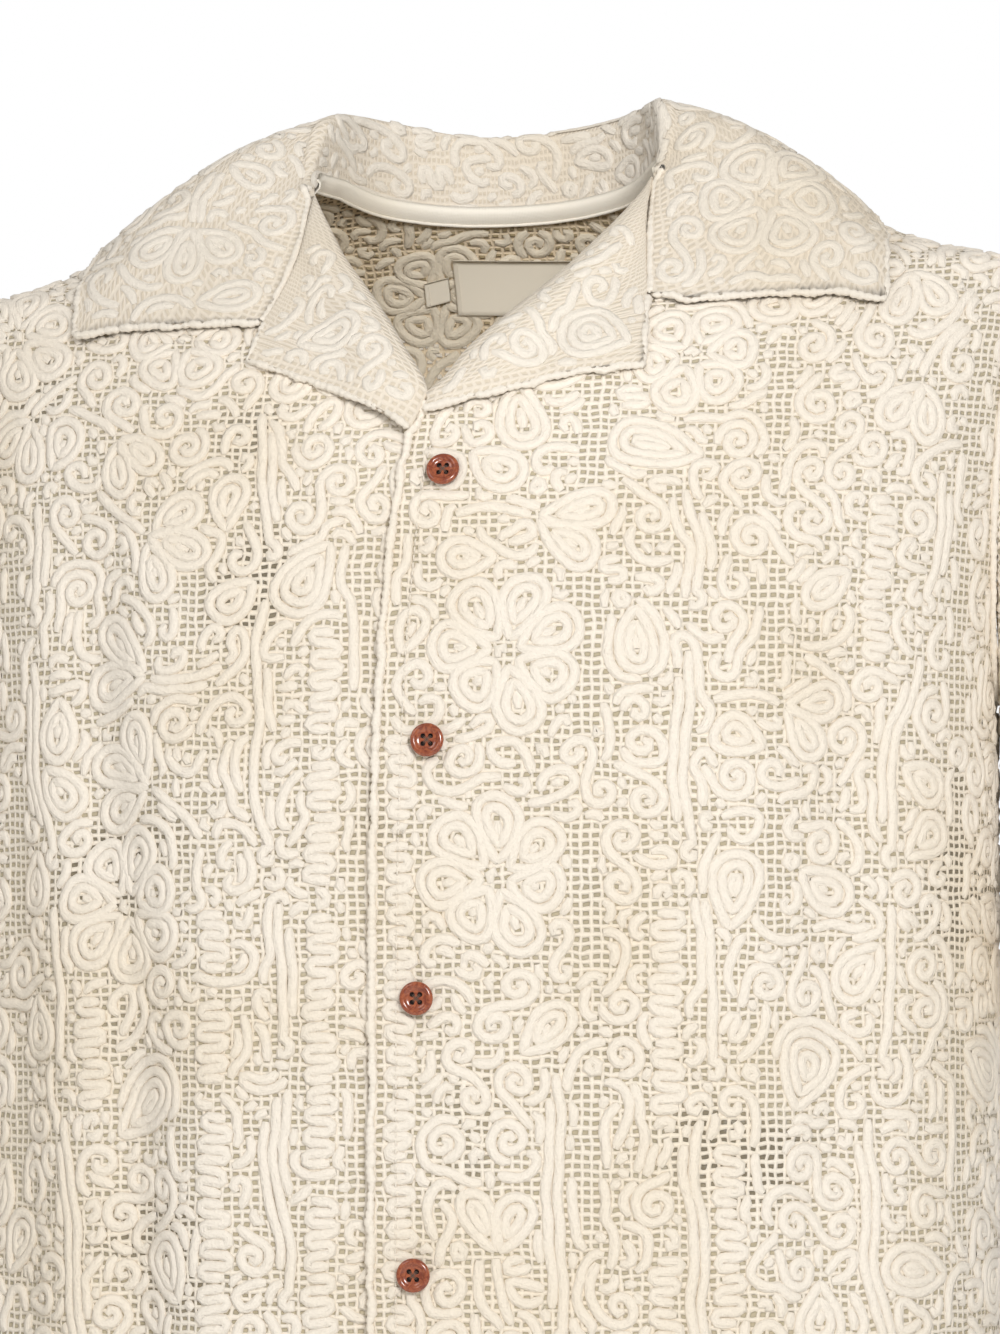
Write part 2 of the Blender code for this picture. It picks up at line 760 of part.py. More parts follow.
def make_button(name, level):
    """A turned four-hole button: a rounded rim round a shallow dish."""
    radius, thick = BUTTON_RADIUS, BUTTON_THICK
    profile = [
        (0, thick - BUTTON_DISH),
        (radius - BUTTON_RIM, thick - BUTTON_DISH),
        (radius - BUTTON_RIM + 0.7, thick - 0.15),
        (radius - 1.1, thick),
        (radius - 0.25, thick - 0.6),
        (radius, thick - 1.3),
        (radius - 0.9, 0.25),
        (radius - 2.0, 0),
        (0, 0),
    ]
    shape = bmesh.new()
    verts = [shape.verts.new((r * MM, 0, z * MM)) for r, z in profile]
    edges = [shape.edges.new(pair) for pair in zip(verts, verts[1:])]
    bmesh.ops.spin(
        shape,
        geom=verts + edges,
        axis=(0, 0, 1),
        cent=(0, 0, 0),
        steps=BUTTON_SIDES,
        angle=math.tau,
        use_merge=True,
        use_duplicate=False,
    )
    bmesh.ops.remove_doubles(shape, verts=shape.verts, dist=1e-6)
    bmesh.ops.recalc_face_normals(shape, faces=shape.faces)
    mesh = bpy.data.meshes.new(name)
    shape.to_mesh(mesh)
    shape.free()
    mesh.shade_smooth()
    mesh.set_sharp_from_angle(angle=math.radians(40))
    button = new_object(name, mesh, nut)
    x = button_line(level)
    turn = turn_at(x, level)
    seat = body(turn, level, LAY_GAP)
    outward = (body(turn, level, 10) - body(turn, level, 0)).normalized()
    button.rotation_euler = outward.to_track_quat("Z", "Y").to_euler()
    button.location = seat * MM
    bpy.context.view_layer.update()
    for across, up in ((-1, -1), (-1, 1), (1, -1), (1, 1)):
        bpy.ops.mesh.primitive_cylinder_add(
            vertices=BUTTON_HOLE_SIDES,
            radius=BUTTON_HOLE * MM,
            depth=4 * BUTTON_THICK * MM,
            location=(across * BUTTON_HOLE_PITCH / 2 * MM, up * BUTTON_HOLE_PITCH / 2 * MM, 0),
        )
        drill = bpy.context.object
        drill.name = f"{name}_drill"
        drill.parent = button
        for collection in drill.users_collection:
            collection.objects.unlink(drill)
        cutters.objects.link(drill)
        drill.hide_render = True
        drill.display_type = "WIRE"
        hole = button.modifiers.new("hole", "BOOLEAN")
        hole.operation = "DIFFERENCE"
        hole.object = drill


for old in list(bpy.data.objects):
    bpy.data.objects.remove(old)
shirt = bpy.data.collections.new("camp_collar_shirt")
cutters = bpy.data.collections.new("cutters")
bpy.context.scene.collection.children.link(shirt)
bpy.context.scene.collection.children.link(cutters)
lace, tape, label_cloth, nut = (
    plain_material(name) for name in ("corded_lace", "neck_tape", "label_cloth", "button_nut")
)

make_fronts()
make_back()
make_sleeves()
make_collar()
make_lapels()
make_neck_tape()
make_label("label", LABEL, 8, FACET_GAP)
make_label("size_tab", SIZE_TAB, 2, FACET_GAP)
for number, button_level in enumerate(BUTTON_LEVELS, 1):
    make_button(f"button_{number}", button_level)
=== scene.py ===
"""Camp collar shirt with short sleeves in cream corded lace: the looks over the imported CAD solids.

The shirt is made up here as a maker would: the lace fronts, the back, the sleeves, the collar and
its lapels, then the tape, the labels and the buttons. Lengths are in millimetres in the flat cuts
and in the form, and MM turns them into metres when a mesh is made.
"""

import math
import random

import bpy
import numpy as np
from mathutils import Matrix, Vector
from mathutils.bvhtree import BVHTree


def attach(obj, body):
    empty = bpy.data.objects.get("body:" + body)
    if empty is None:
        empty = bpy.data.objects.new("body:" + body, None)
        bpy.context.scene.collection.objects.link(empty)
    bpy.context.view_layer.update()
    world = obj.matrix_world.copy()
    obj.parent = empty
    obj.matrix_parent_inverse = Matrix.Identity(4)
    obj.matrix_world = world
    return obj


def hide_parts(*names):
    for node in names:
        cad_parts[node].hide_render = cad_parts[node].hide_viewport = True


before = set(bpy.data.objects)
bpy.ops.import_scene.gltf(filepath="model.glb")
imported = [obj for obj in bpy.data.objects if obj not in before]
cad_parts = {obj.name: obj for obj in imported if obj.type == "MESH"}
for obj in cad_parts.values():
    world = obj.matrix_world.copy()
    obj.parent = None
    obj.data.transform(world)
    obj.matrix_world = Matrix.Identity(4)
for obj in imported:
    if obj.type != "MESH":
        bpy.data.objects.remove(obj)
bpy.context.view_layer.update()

# ---------------------------------------------------------------- The lace fronts
# Two fronts of square net with cords laid on it in scrolls, leaves and flowers and stitched down.
# The wearer's left one laps over the right one, and both hang from the shoulder seams.

MM = 0.001
HEM, UNDERARM, SHOULDER_TIP, BREAK, NECK_TOP = -700.0, -235.0, -47.0, -104.0, 6.5
SEAM_GAP, LAY_GAP, CLOTH = 0.3, 0.4, 2.4
TILT, TILT_FADE = 0.028, (-420.0, -120.0)
UNDER_SINK = 3.2  # how far the under front lies below the top front
NEAR = 0.4  # step in degrees and millimetres over which a normal is taken
RINGS = (
    # level, half width, front depth, back depth, squareness
    (8, 76, 17, 44, 2.0),
    (-1, 104, 24, 62, 2.0),
    (-10, 133, 31, 72, 2.0),
    (-22, 171, 40, 83, 2.0),
    (-34, 202, 49, 92, 2.0),
    (-47, 246, 58, 100, 2.05),
    (-60, 246, 68, 106, 2.1),
    (-80, 243, 84, 112, 2.12),
    (-104, 239, 98, 117, 2.15),
    (-150, 233, 117, 122, 2.2),
    (-235, 227, 131, 123, 2.3),
    (-320, 227, 135, 119, 2.3),
    (-450, 227, 135, 114, 2.3),
    (-600, 230, 133, 115, 2.25),
    (-700, 233, 131, 117, 2.2),
)
FOLDS = (
    # faces forward, x and level at the top, x and level at the foot, half width, depth
    (True, -158, -150, -150, -330, 17, 8),
    (True, -137, -300, -128, -700, 16, 9),
    (True, -98, -330, -96, -700, 20, -4),
    (True, -196, -235, -188, -560, 15, 5),
    (True, 60, -330, 52, -520, 30, 5),
    (True, 172, -190, 160, -520, 20, 6),
    (True, 120, -430, 112, -700, 18, 4),
    (False, -150, -150, -140, -700, 22, 8),
    (False, -60, -330, -64, -700, 24, 6),
    (False, 48, -260, 56, -700, 22, 6),
    (False, 146, -140, 138, -700, 22, 8),
)
EDGES = (
    # level, top front's edge, under front's edge, line of the buttons
    (-104, -8.5, -9.5, 1.0),
    (-112, -11.5, -2, 1.0),
    (-120, -15, 6, 1.0),
    (-138, -18, 14, 0.8),
    (-175, -21, 16, -0.5),
    (-252, -24.5, 15, -2.6),
    (-359, -26, 12, -6.5),
    (-474, -26, 11, -7.7),
    (-700, -27, 10, -9),
)
ROLLS = (
    # level, roll line on the right front, on the left front
    (-104, -9.5, -8.5),
    (-97, -12, -1),
    (-84, -20.5, 8),
    (-66, -32.5, 26),
    (-50, -44.5, 43),
    (-36, -55, 56),
    (-20, -64.5, 69),
    (-8, -71.5, 76.5),
    (0, -75.5, 79),
    (6.5, -77.5, 79.5),
)
ARMHOLE_MIDDLE, ARMHOLE_HALF = (SHOULDER_TIP + UNDERARM) / 2, (SHOULDER_TIP - UNDERARM) / 2
ARMHOLE_FRONT, ARMHOLE_BACK, ARMHOLE_DRAW = 30.0, 44.0, 2.5


def curve_through(rows, column):
    """The smooth curve that the solids follow through one column of a table."""
    rows = sorted(rows)
    at, value = (np.array([row[k] for row in rows], float) for k in (0, column))
    steps = np.diff(at)
    slopes = np.diff(value) / steps
    same = slopes[:-1] * slopes[1:] > 0
    inner = np.where(same, 2 * slopes[:-1] * slopes[1:] / np.where(same, slopes[:-1] + slopes[1:], 1), 0)
    turns = np.concatenate((slopes[:1], inner, slopes[-1:]))

    def curve(x):
        x = np.clip(x, at[0], at[-1])
        i = np.clip(np.searchsorted(at, x, side="right") - 1, 0, len(steps) - 1)
        t, rise = (x - at[i]) / steps[i], value[i + 1] - value[i]
        bend_in, bend_out = turns[i] * steps[i] - rise, rise - turns[i + 1] * steps[i]
        return value[i] + rise * t + t * (1 - t) * (bend_in * (1 - t) + bend_out * t)

    return curve


def smooth(low, high, x):
    """A soft step from 0 at the first bound to 1 at the second."""
    t = np.clip((x - low) / (high - low), 0, 1)
    return t * t * (3 - 2 * t)


def mix(a, b, t):
    return a + (b - a) * t


def unit(vectors):
    return vectors / np.maximum(np.linalg.norm(vectors, axis=-1, keepdims=True), 1e-9)


def run_along(points, axis=0):
    """The length passed at each point of a line, or along the rows or columns of a grid."""
    steps = np.linalg.norm(np.diff(points, axis=axis), axis=-1)
    return np.concatenate((np.zeros_like(steps.take([0], axis)), np.cumsum(steps, axis)), axis)


def grid_normals(points):
    """Normals of a grid whose columns run to the right and whose rows run up."""
    return unit(np.cross(np.gradient(points, axis=1), np.gradient(points, axis=0)))


def solve(low, high, short_of):
    """The value between two bounds where a test stops holding, for whole arrays at once."""
    for _ in range(30):
        middle = (low + high) / 2
        short = short_of(middle)
        low, high = np.where(short, middle, low), np.where(short, high, middle)
    return (low + high) / 2


half_width, front_depth, back_depth, squareness = (curve_through(RINGS, k) for k in (1, 2, 3, 4))
top_edge, under_edge, button_line = (curve_through(EDGES, k) for k in (1, 2, 3))
right_roll, left_roll = (curve_through(ROLLS, k) for k in (1, 2))


def ring_point(turn, level):
    """The smooth body form: turn in degrees from the middle front towards the wearer's left."""
    turn, level = np.broadcast_arrays(np.asarray(turn, float), np.asarray(level, float))
    side, ahead = np.sin(np.radians(turn)), np.cos(np.radians(turn))
    square = squareness(level)
    reach = (abs(side) ** square + abs(ahead) ** square) ** (-1 / square)
    depth = np.where(ahead > 0, front_depth(level), back_depth(level))
    return np.stack((half_width(level) * reach * side, -depth * reach * ahead, level), -1)


def turn_at(x, level):
    """The turn at which the front has this x."""
    return solve(-90.0, 90.0, lambda turn: ring_point(turn, level)[..., 0] < x)


def turn_at_depth(y, level):
    """The turn at which the side has this depth."""
    return solve(0.0, 180.0, lambda turn: ring_point(turn, level)[..., 1] < y)


def fold_depth(points):
    """How far the large folds sink the cloth."""
    x, y, z = np.moveaxis(points, -1, 0)
    depth = np.zeros_like(x)
    for ahead, x_top, level_top, x_foot, level_foot, half, sink in FOLDS:
        along = (z - level_top) / (level_foot - level_top)
        foot = 1 if level_foot <= HEM else smooth(1.25, 0.7, along)
        across = (x - mix(x_top, x_foot, along)) / half
        here = (y < 0) if ahead else (y >= 0)
        depth += here * sink * smooth(-0.25, 0.3, along) * foot * np.exp(-across * across)
    return depth * smooth(2, 30, abs(y))


def lean(points):
    """The shirt sits a little higher on the wearer's left shoulder."""
    points = np.array(points, float)
    points[..., 2] += points[..., 0] * TILT * smooth(*TILT_FADE, points[..., 2])
    return points


def body_normal(turn, level):
    above, below = np.minimum(level + NEAR, RINGS[0][0]), np.maximum(level - NEAR, HEM)
    across = ring_point(turn + NEAR, level) - ring_point(turn - NEAR, level)
    return unit(np.cross(across, ring_point(turn, above) - ring_point(turn, below)))


def body(turn, level, out=0.0):
    """A point of the worn cloth, moved out along its normal."""
    points = ring_point(turn, level)
    away = np.asarray(out - fold_depth(points))[..., None]
    return lean(points + body_normal(turn, level) * away)


def level_at(x, y):
    """The level of the shoulders and chest above a place in plan."""

    def below(level):
        depth = np.where(y < 0, front_depth(level), back_depth(level))
        square = squareness(level)
        return (abs(x) / half_width(level)) ** square + (abs(y) / depth) ** square < 1

    # the form narrows upwards, so a place inside a ring lies above it
    return solve(np.full(np.shape(x), -330.0), np.full(np.shape(x), float(RINGS[0][0])), below)


def side_turn(level, forward):
    """Where a panel ends at the side seam, the armhole or the shoulder seam."""
    reach = ARMHOLE_FRONT if forward else ARMHOLE_BACK
    across = (level - ARMHOLE_MIDDLE) / ARMHOLE_HALF
    depth = np.maximum(reach * np.sqrt(np.maximum(1 - across * across, 0)), SEAM_GAP / 2)
    return turn_at_depth(-depth if forward else depth, level)


ARM_LEVELS = ARMHOLE_MIDDLE - ARMHOLE_HALF * np.cos(np.linspace(0, math.pi, 41))
LEVELS = np.concatenate(
    (np.linspace(HEM, UNDERARM, 76)[:-1], ARM_LEVELS, np.linspace(SHOULDER_TIP, NECK_TOP, 37)[1:])
)
PANEL_COLUMNS = 64


def panel_turns(start, end, side, columns):
    """Columns from a panel's middle edge to its side, drawn in where the armhole cuts into it."""
    share = np.linspace(0, 1, columns)
    return mix(start[:, None], side, share) - (side - end)[:, None] * share**ARMHOLE_DRAW


def arc_from(turn, to, levels):
    """The length around the form from one turn to another, signed."""
    turns = mix(turn, np.asarray(to)[:, None], np.linspace(0, 1, 60))
    run = np.linalg.norm(np.diff(ring_point(turns, levels[:, None]), axis=1), axis=2).sum(1)
    return np.sign(to - turn) * run


class Cut:
    """A piece of cloth laid flat. It knows where each flat point lies on the worn shirt."""

    STEP = 3.0  # between the places of its table
    GROW = 12.0  # how far the table reaches past the cloth's sides

    def __init__(self, points, first=None):
        """points: rows from the foot up, each running towards the wearer's left over the front."""
        rows, grow = len(points), self.GROW
        first = np.zeros(rows) if first is None else first
        self.across = first[:, None] + run_along(points, 1)
        ends = [points[:, k] + unit(points[:, k] - points[:, n]) * grow for k, n in ((0, 1), (-1, -2))]
        wide = np.concatenate((ends[0][:, None], points, ends[1][:, None]), 1)
        at = np.concatenate((self.across[:, :1] - grow, self.across, self.across[:, -1:] + grow), 1)
        self.u = np.arange(self.across.min() - self.STEP, self.across.max() + 2 * self.STEP, self.STEP)
        even = np.stack([[np.interp(self.u, at[i], wide[i, :, k]) for k in range(3)] for i in range(rows)])
        even = np.moveaxis(even, 1, 2)
        held = (self.u >= self.across[:, :1]) & (self.u <= self.across[:, -1:])
        self.up = run_along(even)
        self.v = np.arange(0, self.up.max() + self.STEP, self.STEP)
        self.place = np.zeros((len(self.v), len(self.u), 3))
        self.inside = np.zeros((len(self.v), len(self.u)))
        for k in range(len(self.u)):
            for axis in range(3):
                self.place[:, k, axis] = np.interp(self.v, self.up[:, k], even[:, k, axis])
            here = np.interp(self.v, self.up[:, k], held[:, k].astype(float))
            self.inside[:, k] = np.where(self.v > self.up[-1, k], 0, here)
        self.finish()
        self.flat = np.stack([np.interp(self.across[i], self.u, self.up[i]) for i in range(rows)])
        self.flat = np.stack((self.across, self.flat), -1)

    def finish(self):
        self.normal = grid_normals(self.place)

    def look_up(self, flat, *tables):
        """Values of tables at flat points, read between the four nearest places."""
        a = np.clip((flat[:, 0] - self.u[0]) / self.STEP, 0, len(self.u) - 1.001)
        b = np.clip((flat[:, 1] - self.v[0]) / self.STEP, 0, len(self.v) - 1.001)
        i, j = b.astype(int), a.astype(int)
        b, a = b - i, a - j
        read = []
        for table in tables:
            p, q = (a[:, None], b[:, None]) if table.ndim > 2 else (a, b)
            low = table[i, j] * (1 - p) + table[i, j + 1] * p
            high = table[i + 1, j] * (1 - p) + table[i + 1, j + 1] * p
            read.append(low * (1 - q) + high * q)
        return read

    def area(self):
        """Flat area in square metres."""
        return (self.inside > 0.5).sum() * self.STEP**2 * MM * MM


def set_out(name, data):
    """Put a mesh, lamp or lens into the scene."""
    thing = bpy.data.objects.new(name, data)
    bpy.context.scene.collection.objects.link(thing)
    return thing


def new_piece(name, verts, faces, material, uv):
    """A piece of the shirt from points in millimetres, with its place on the flat cut in metres."""
    mesh = bpy.data.meshes.new(name)
    mesh.from_pydata((np.asarray(verts) * MM).tolist(), [], np.asarray(faces).tolist())
    mesh.update()
    layer = mesh.uv_layers.new(name="flat_cut")
    corner = np.zeros(len(mesh.loops), int)
    mesh.loops.foreach_get("vertex_index", corner)
    layer.data.foreach_set("uv", np.asarray(uv, float)[corner].ravel())
    mesh.shade_smooth()
    mesh.materials.append(material)
    piece = set_out(name, mesh)
    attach(piece, "root")
    return piece


def grid_faces(rows, columns, start=0):
    i, j = np.meshgrid(np.arange(rows - 1), np.arange(columns - 1), indexing="ij")
    a = (start + i * columns + j).ravel()
    return np.stack((a, a + 1, a + columns + 1, a + columns), 1)


def net_shell(name, cut, points, material):
    """A single ply of net on a grid of points."""
    uv = cut.flat.reshape(-1, 2) * MM
    return new_piece(name, points.reshape(-1, 3), grid_faces(*points.shape[:2]), material, uv)


# The shapes that the cords are laid in, each a list of lines about its own middle
CORD = 4.3  # width of a cord
PITCH = 4.5  # from one cord to the next beside it


def bent(points, step=1.1):
    """Points evenly along a line."""
    points = np.asarray(points, float)
    run = run_along(points)
    at = np.linspace(0, run[-1], max(int(run[-1] / step), 2) + 1)
    return np.stack([np.interp(at, run, points[:, k]) for k in (0, 1)], 1)


def spiral(radius, tail=0.0):
    """A coil wound inwards, with a straight tail where one is wanted."""
    turns = max((radius - 1.2) / PITCH, 0.8)
    angle = np.linspace(0, turns * math.tau, int(turns * 22) + 4)
    out = radius - PITCH * angle / math.tau
    line = np.stack((out * np.sin(angle), out * np.cos(angle)), 1)
    if tail:
        line = np.concatenate(([(-tail, radius + tail * 0.12), (-tail / 2, radius + tail * 0.03)], line))
    return [bent(line)]


def scroll(radius, reach):
    """Two spirals wound opposite ways from the ends of one cord."""
    one = spiral(radius)[0]
    shares = np.linspace(0, 1, 14)[1:-1]
    start, end = np.array((-reach, radius)), np.array((reach, -radius))
    lead = np.array((reach * 1.1, 0))
    first, last = start + lead, end - lead
    bridge = [
        start * (1 - t) ** 3 + 3 * first * t * (1 - t) ** 2 + 3 * last * t * t * (1 - t) + end * t**3
        for t in shares
    ]
    left = one * (-1, 1) + (-reach, 0)
    right = one * (1, -1) + (reach, 0)
    return [bent(np.concatenate((left[::-1], bridge, right)))]


def petal(length, width, loops):
    """A leaf of cords laid one inside the other."""
    lines = []
    for k in range(loops):
        long, wide = length - 2.5 * PITCH * k, width - 1.85 * PITCH * k
        if wide < PITCH * 0.7 or long < PITCH * 1.1:
            break
        angle = np.linspace(0, math.tau, 40)
        x = long / 2 * (1 - np.cos(angle)) + 1.5 * PITCH * k
        y = wide / 1.54 * np.sin(angle) * np.sin(angle / 2)
        lines.append(bent(np.stack((x, y), 1)))
    middle = width - 1.85 * PITCH * len(lines)
    if middle > -2:
        x0, x1 = length * 0.42, length - PITCH * len(lines) - 1
        if x1 - x0 > 3:
            lines.append(bent([(x0, 0), (x1, 0)]))
    return [line - (length / 2, 0) for line in lines]


def turned(angle):
    """Multiplies rows of flat points to turn them."""
    return np.array(((math.cos(angle), math.sin(angle)), (-math.sin(angle), math.cos(angle))))


def flower(radius, petals):
    """Leaves side by side round a small coil, some longer than others."""
    heart = 6.2
    lines = spiral(3.4)
    wide = math.tau * radius * 0.62 / petals - 0.2
    for k in range(petals):
        long = (radius - heart) * (0.92 + 0.1 * math.sin(2.4 * k + petals))
        for line in petal(long, min(wide, long), 3):
            lines.append((line + (heart + long / 2, 0)) @ turned(math.tau * k / petals))
    return lines


def sprig(reach, leaves=3):
    """A curved stem with long leaves fanned out from its head."""
    t = np.linspace(0, 1, 14)
    lines = [bent(np.stack((-reach * 0.95 * t - 2, reach * 0.32 * t * t), 1))]
    for k in range(leaves):
        from_middle = k - (leaves - 1) / 2
        long = reach * (1 - 0.14 * abs(from_middle))
        for line in petal(long, reach * 0.5, 3):
            out = long / 2 + 1.5 + reach * 0.08 * abs(from_middle)
            lines.append((line + (out, 0)) @ turned(from_middle * 0.86))
    return lines


def ring(radius):
    """One round of cord, closed with a small overlap."""
    angle = np.linspace(0, math.tau * 1.04, 20)
    return [bent(np.stack((radius * np.cos(angle), radius * np.sin(angle)), 1))]


def ladder(width, rungs, pitch=PITCH * 0.98):
    """One cord run to and fro."""
    half = width / 2 - pitch / 2
    points = []
    for k in range(rungs):
        side = 1 if k % 2 else -1
        y = (k - (rungs - 1) / 2) * pitch
        points += [(-side * half, y), (side * half, y)]
        if k < rungs - 1:
            for bend in (math.radians(angle) for angle in (-60, -20, 20, 60)):
                out, up = pitch / 2 * math.cos(bend), pitch / 2 * (1 + math.sin(bend))
                points.append((side * (half + out), y + up))
    return [bent(points)]


def arch(width, height):
    """Two cords bent over one another like a doorway."""
    lines = []
    for k in range(2):
        half = width / 2 - PITCH * k
        if half < PITCH * 0.45:
            break
        angle = np.linspace(0, math.pi, 16)
        top = height - half
        bow = np.stack((half * np.cos(angle), top + half * np.sin(angle)), 1)
        lines.append(bent(np.concatenate(([(half, 0)], bow, [(-half, 0)]))) - (0, height / 2))
    return lines


def stroke(length, bow):
    """A short, slightly bowed cord."""
    t = np.linspace(-1, 1, 9)
    return [bent(np.stack((t * length / 2, bow * (1 - t * t)), 1))]


class Layout:
    """Cords set out on a cut so that none lies on another."""

    CELL = 0.9  # of the grid that keeps count of the free net

    def __init__(self, cut, seed, margin=2.4):
        """margin: how far the middle of a cord stays inside the cut."""
        self.cut, self.dice, self.lines = cut, random.Random(seed), []
        self.u0, self.v0 = cut.u[0], cut.v[0]
        columns = int((cut.u[-1] - self.u0) / self.CELL) + 1
        rows = int((cut.v[-1] - self.v0) / self.CELL) + 1
        u, v = np.meshgrid(self.u0 + np.arange(columns) * self.CELL, self.v0 + np.arange(rows) * self.CELL)
        free = np.ones(u.shape, bool)
        for angle in np.linspace(0, math.tau, 9)[:-1]:
            spot = np.stack((u.ravel() + margin * math.cos(angle), v.ravel() + margin * math.sin(angle)), 1)
            free &= (cut.look_up(spot, cut.inside)[0] > 0.93).reshape(u.shape)
        self.free = free
        self.open_cells = free.sum()
        reach = CORD / 2 - 0.1
        near = np.arange(-3, 4) * self.CELL
        self.stamp = np.array([(a, b) for a in near for b in near if math.hypot(a, b) <= reach])
        turn = np.linspace(0, math.tau, 9)[:-1]
        self.rim = np.stack((np.cos(turn), np.sin(turn)), 1) * (CORD / 2 - 0.45)

    def cells(self, spots):
        """The grid's row and column at flat points, and whether they lie on the grid."""
        j = np.round((spots[..., 0] - self.u0) / self.CELL).astype(int)
        i = np.round((spots[..., 1] - self.v0) / self.CELL).astype(int)
        ok = (i >= 0) & (j >= 0) & (i < self.free.shape[0]) & (j < self.free.shape[1])
        return np.where(ok, i, 0), np.where(ok, j, 0), ok

    def fits(self, lines):
        """Whether lines have free net under their whole width."""
        for line in lines:
            i, j, ok = self.cells(line[::2, None] + self.rim)
            if not (ok & self.free[i, j]).all():
                return False
        return True

    def take(self, lines, lift=0.0):
        """Lay lines down and mark the net under them as taken."""
        for line in lines:
            i, j, ok = self.cells(line[:, None] + self.stamp)
            self.free[i[ok], j[ok]] = False
            self.lines.append((line, lift))

    def block(self, u0, u1, v0, v1):
        """Net that the fillings leave bare."""
        (i0, i1), (j0, j1), _ = self.cells(np.array(((u0, v0), (u1, v1))))
        self.free[i0:i1, j0:j1] = False

    def put(self, shape, at, turn=0.0, mirror=False):
        """Lay a shape down, turned and moved to its place, if the net is free there."""
        lines = [(line * (-1, 1) if mirror else line) @ turned(turn) + at for line in shape]
        if self.fits(lines):
            self.take(lines)

    def scatter(self, shapes, tries, upright=0.0):
        """Try shapes at free places; shapes is a list of makers, picked evenly."""
        ii, jj = np.nonzero(self.free)
        if not len(ii):
            return
        for n in range(tries):
            if n % 400 == 399:
                ii, jj = np.nonzero(self.free)
                if not len(ii):
                    return
            k = self.dice.randrange(len(ii))
            if not self.free[ii[k], jj[k]]:
                continue
            at = (self.u0 + jj[k] * self.CELL, self.v0 + ii[k] * self.CELL)
            if self.dice.random() < upright:
                turn = self.dice.choice((0, 0.5, 1, 1.5)) * math.pi
            else:
                turn = self.dice.uniform(0, math.tau)
            turn += self.dice.uniform(-0.15, 0.15)
            self.put(self.dice.choice(shapes)(self.dice), at, turn, self.dice.random() < 0.5)

    def grow(self, tries, longest, shortest, curl):
        """Cords that wander through the free net, hug what lies there, and curl up at their end."""
        step = 1.3
        swings = np.array((0, 0.14, -0.14, 0.3, -0.3, 0.5, -0.5, 0.72, -0.72))
        ii, jj = np.nonzero(self.free)
        for n in range(tries):
            if n % 300 == 299:
                ii, jj = np.nonzero(self.free)
            if not len(ii):
                return
            k = self.dice.randrange(len(ii))
            if not self.free[ii[k], jj[k]]:
                continue
            spot = np.array((self.u0 + jj[k] * self.CELL, self.v0 + ii[k] * self.CELL))
            if not self.fits([spot[None]]):
                continue
            heading, hand = self.dice.uniform(0, math.tau), self.dice.choice((-1, 1))
            path, most = [spot], int(self.dice.uniform(shortest, longest) / step)
            for m in range(most):
                bend = hand * mix(0.03, curl, (m / most) ** 1.5)
                ways = heading + bend + swings
                ahead = np.stack((np.cos(ways), np.sin(ways)), 1)
                i, j, ok = self.cells((spot + ahead * step)[:, None] + self.rim)
                good = (ok & self.free[i, j]).all(1)
                if m > 5:
                    old = np.array(path[:-5])
                    next_spots = (spot + ahead * step * 1.5)[:, None] - old
                    good &= (next_spots**2).sum(2).min(1) > (PITCH * 0.93) ** 2
                if not good.any():
                    break
                way = int(np.argmax(good))
                heading = ways[way]
                spot = spot + ahead[way] * step
                path.append(spot)
            if len(path) * step >= shortest:
                self.take([bent(np.array(path))])


def fill(layout, big=1.0):
    """Flowers and leaves first, then scrolls and coils, and wandering cords in what is left.

    The number of tries of each kind is a share of the free area in square millimetres.
    """
    area = layout.open_cells * layout.CELL**2
    if big > 0.5:
        made = [
            lambda d: flower(d.uniform(27, 34), d.choice((6, 7))),
            lambda d: sprig(d.uniform(27, 35), d.choice((2, 3))),
        ]
        layout.scatter(made, int(area * 0.003 * big))
    if big:
        layout.scatter(
            [
                lambda d: petal(d.uniform(30, 42), d.uniform(19, 25), 4),
                lambda d: petal(d.uniform(22, 28), d.uniform(14, 18), 3),
                lambda d: scroll(d.uniform(6.2, 7.8), d.uniform(8.5, 11)),
                lambda d: spiral(d.uniform(7.5, 9.5), d.choice((0, 10, 16))),
            ],
            int(area * 0.008),
        )
    layout.grow(int(area * 0.005), 75, 26, 0.42)
    layout.scatter(
        [
            lambda d: spiral(d.uniform(5.2, 7.2), d.choice((0, 6, 9))),
            lambda d: scroll(d.uniform(4.0, 5.0), d.uniform(6.0, 8.0)),
            lambda d: arch(d.uniform(10, 15), d.uniform(12, 18)),
            lambda d: petal(d.uniform(14, 19), d.uniform(9, 12), 2),
            lambda d: ladder(d.uniform(9, 13), d.choice((3, 4, 5))),
            lambda d: ladder(d.uniform(9, 13), d.choice((3, 4, 6))),
        ],
        int(area * 0.016),
        0.6,
    )
    layout.grow(int(area * 0.012), 34, 11, 0.75)
    layout.scatter([lambda d: spiral(d.uniform(3.4, 4.4)), lambda d: ring(2.6)], int(area * 0.018))
    layout.grow(int(area * 0.03), 16, 4, 0.5)
    crumbs = [lambda d: ring(1.5), lambda d: stroke(3.4, 0.4), lambda d: stroke(2.4, 0)]
    layout.scatter(crumbs, int(area * 0.03))


BAND_LIFT = 0.1  # how far the long cords stand above the others


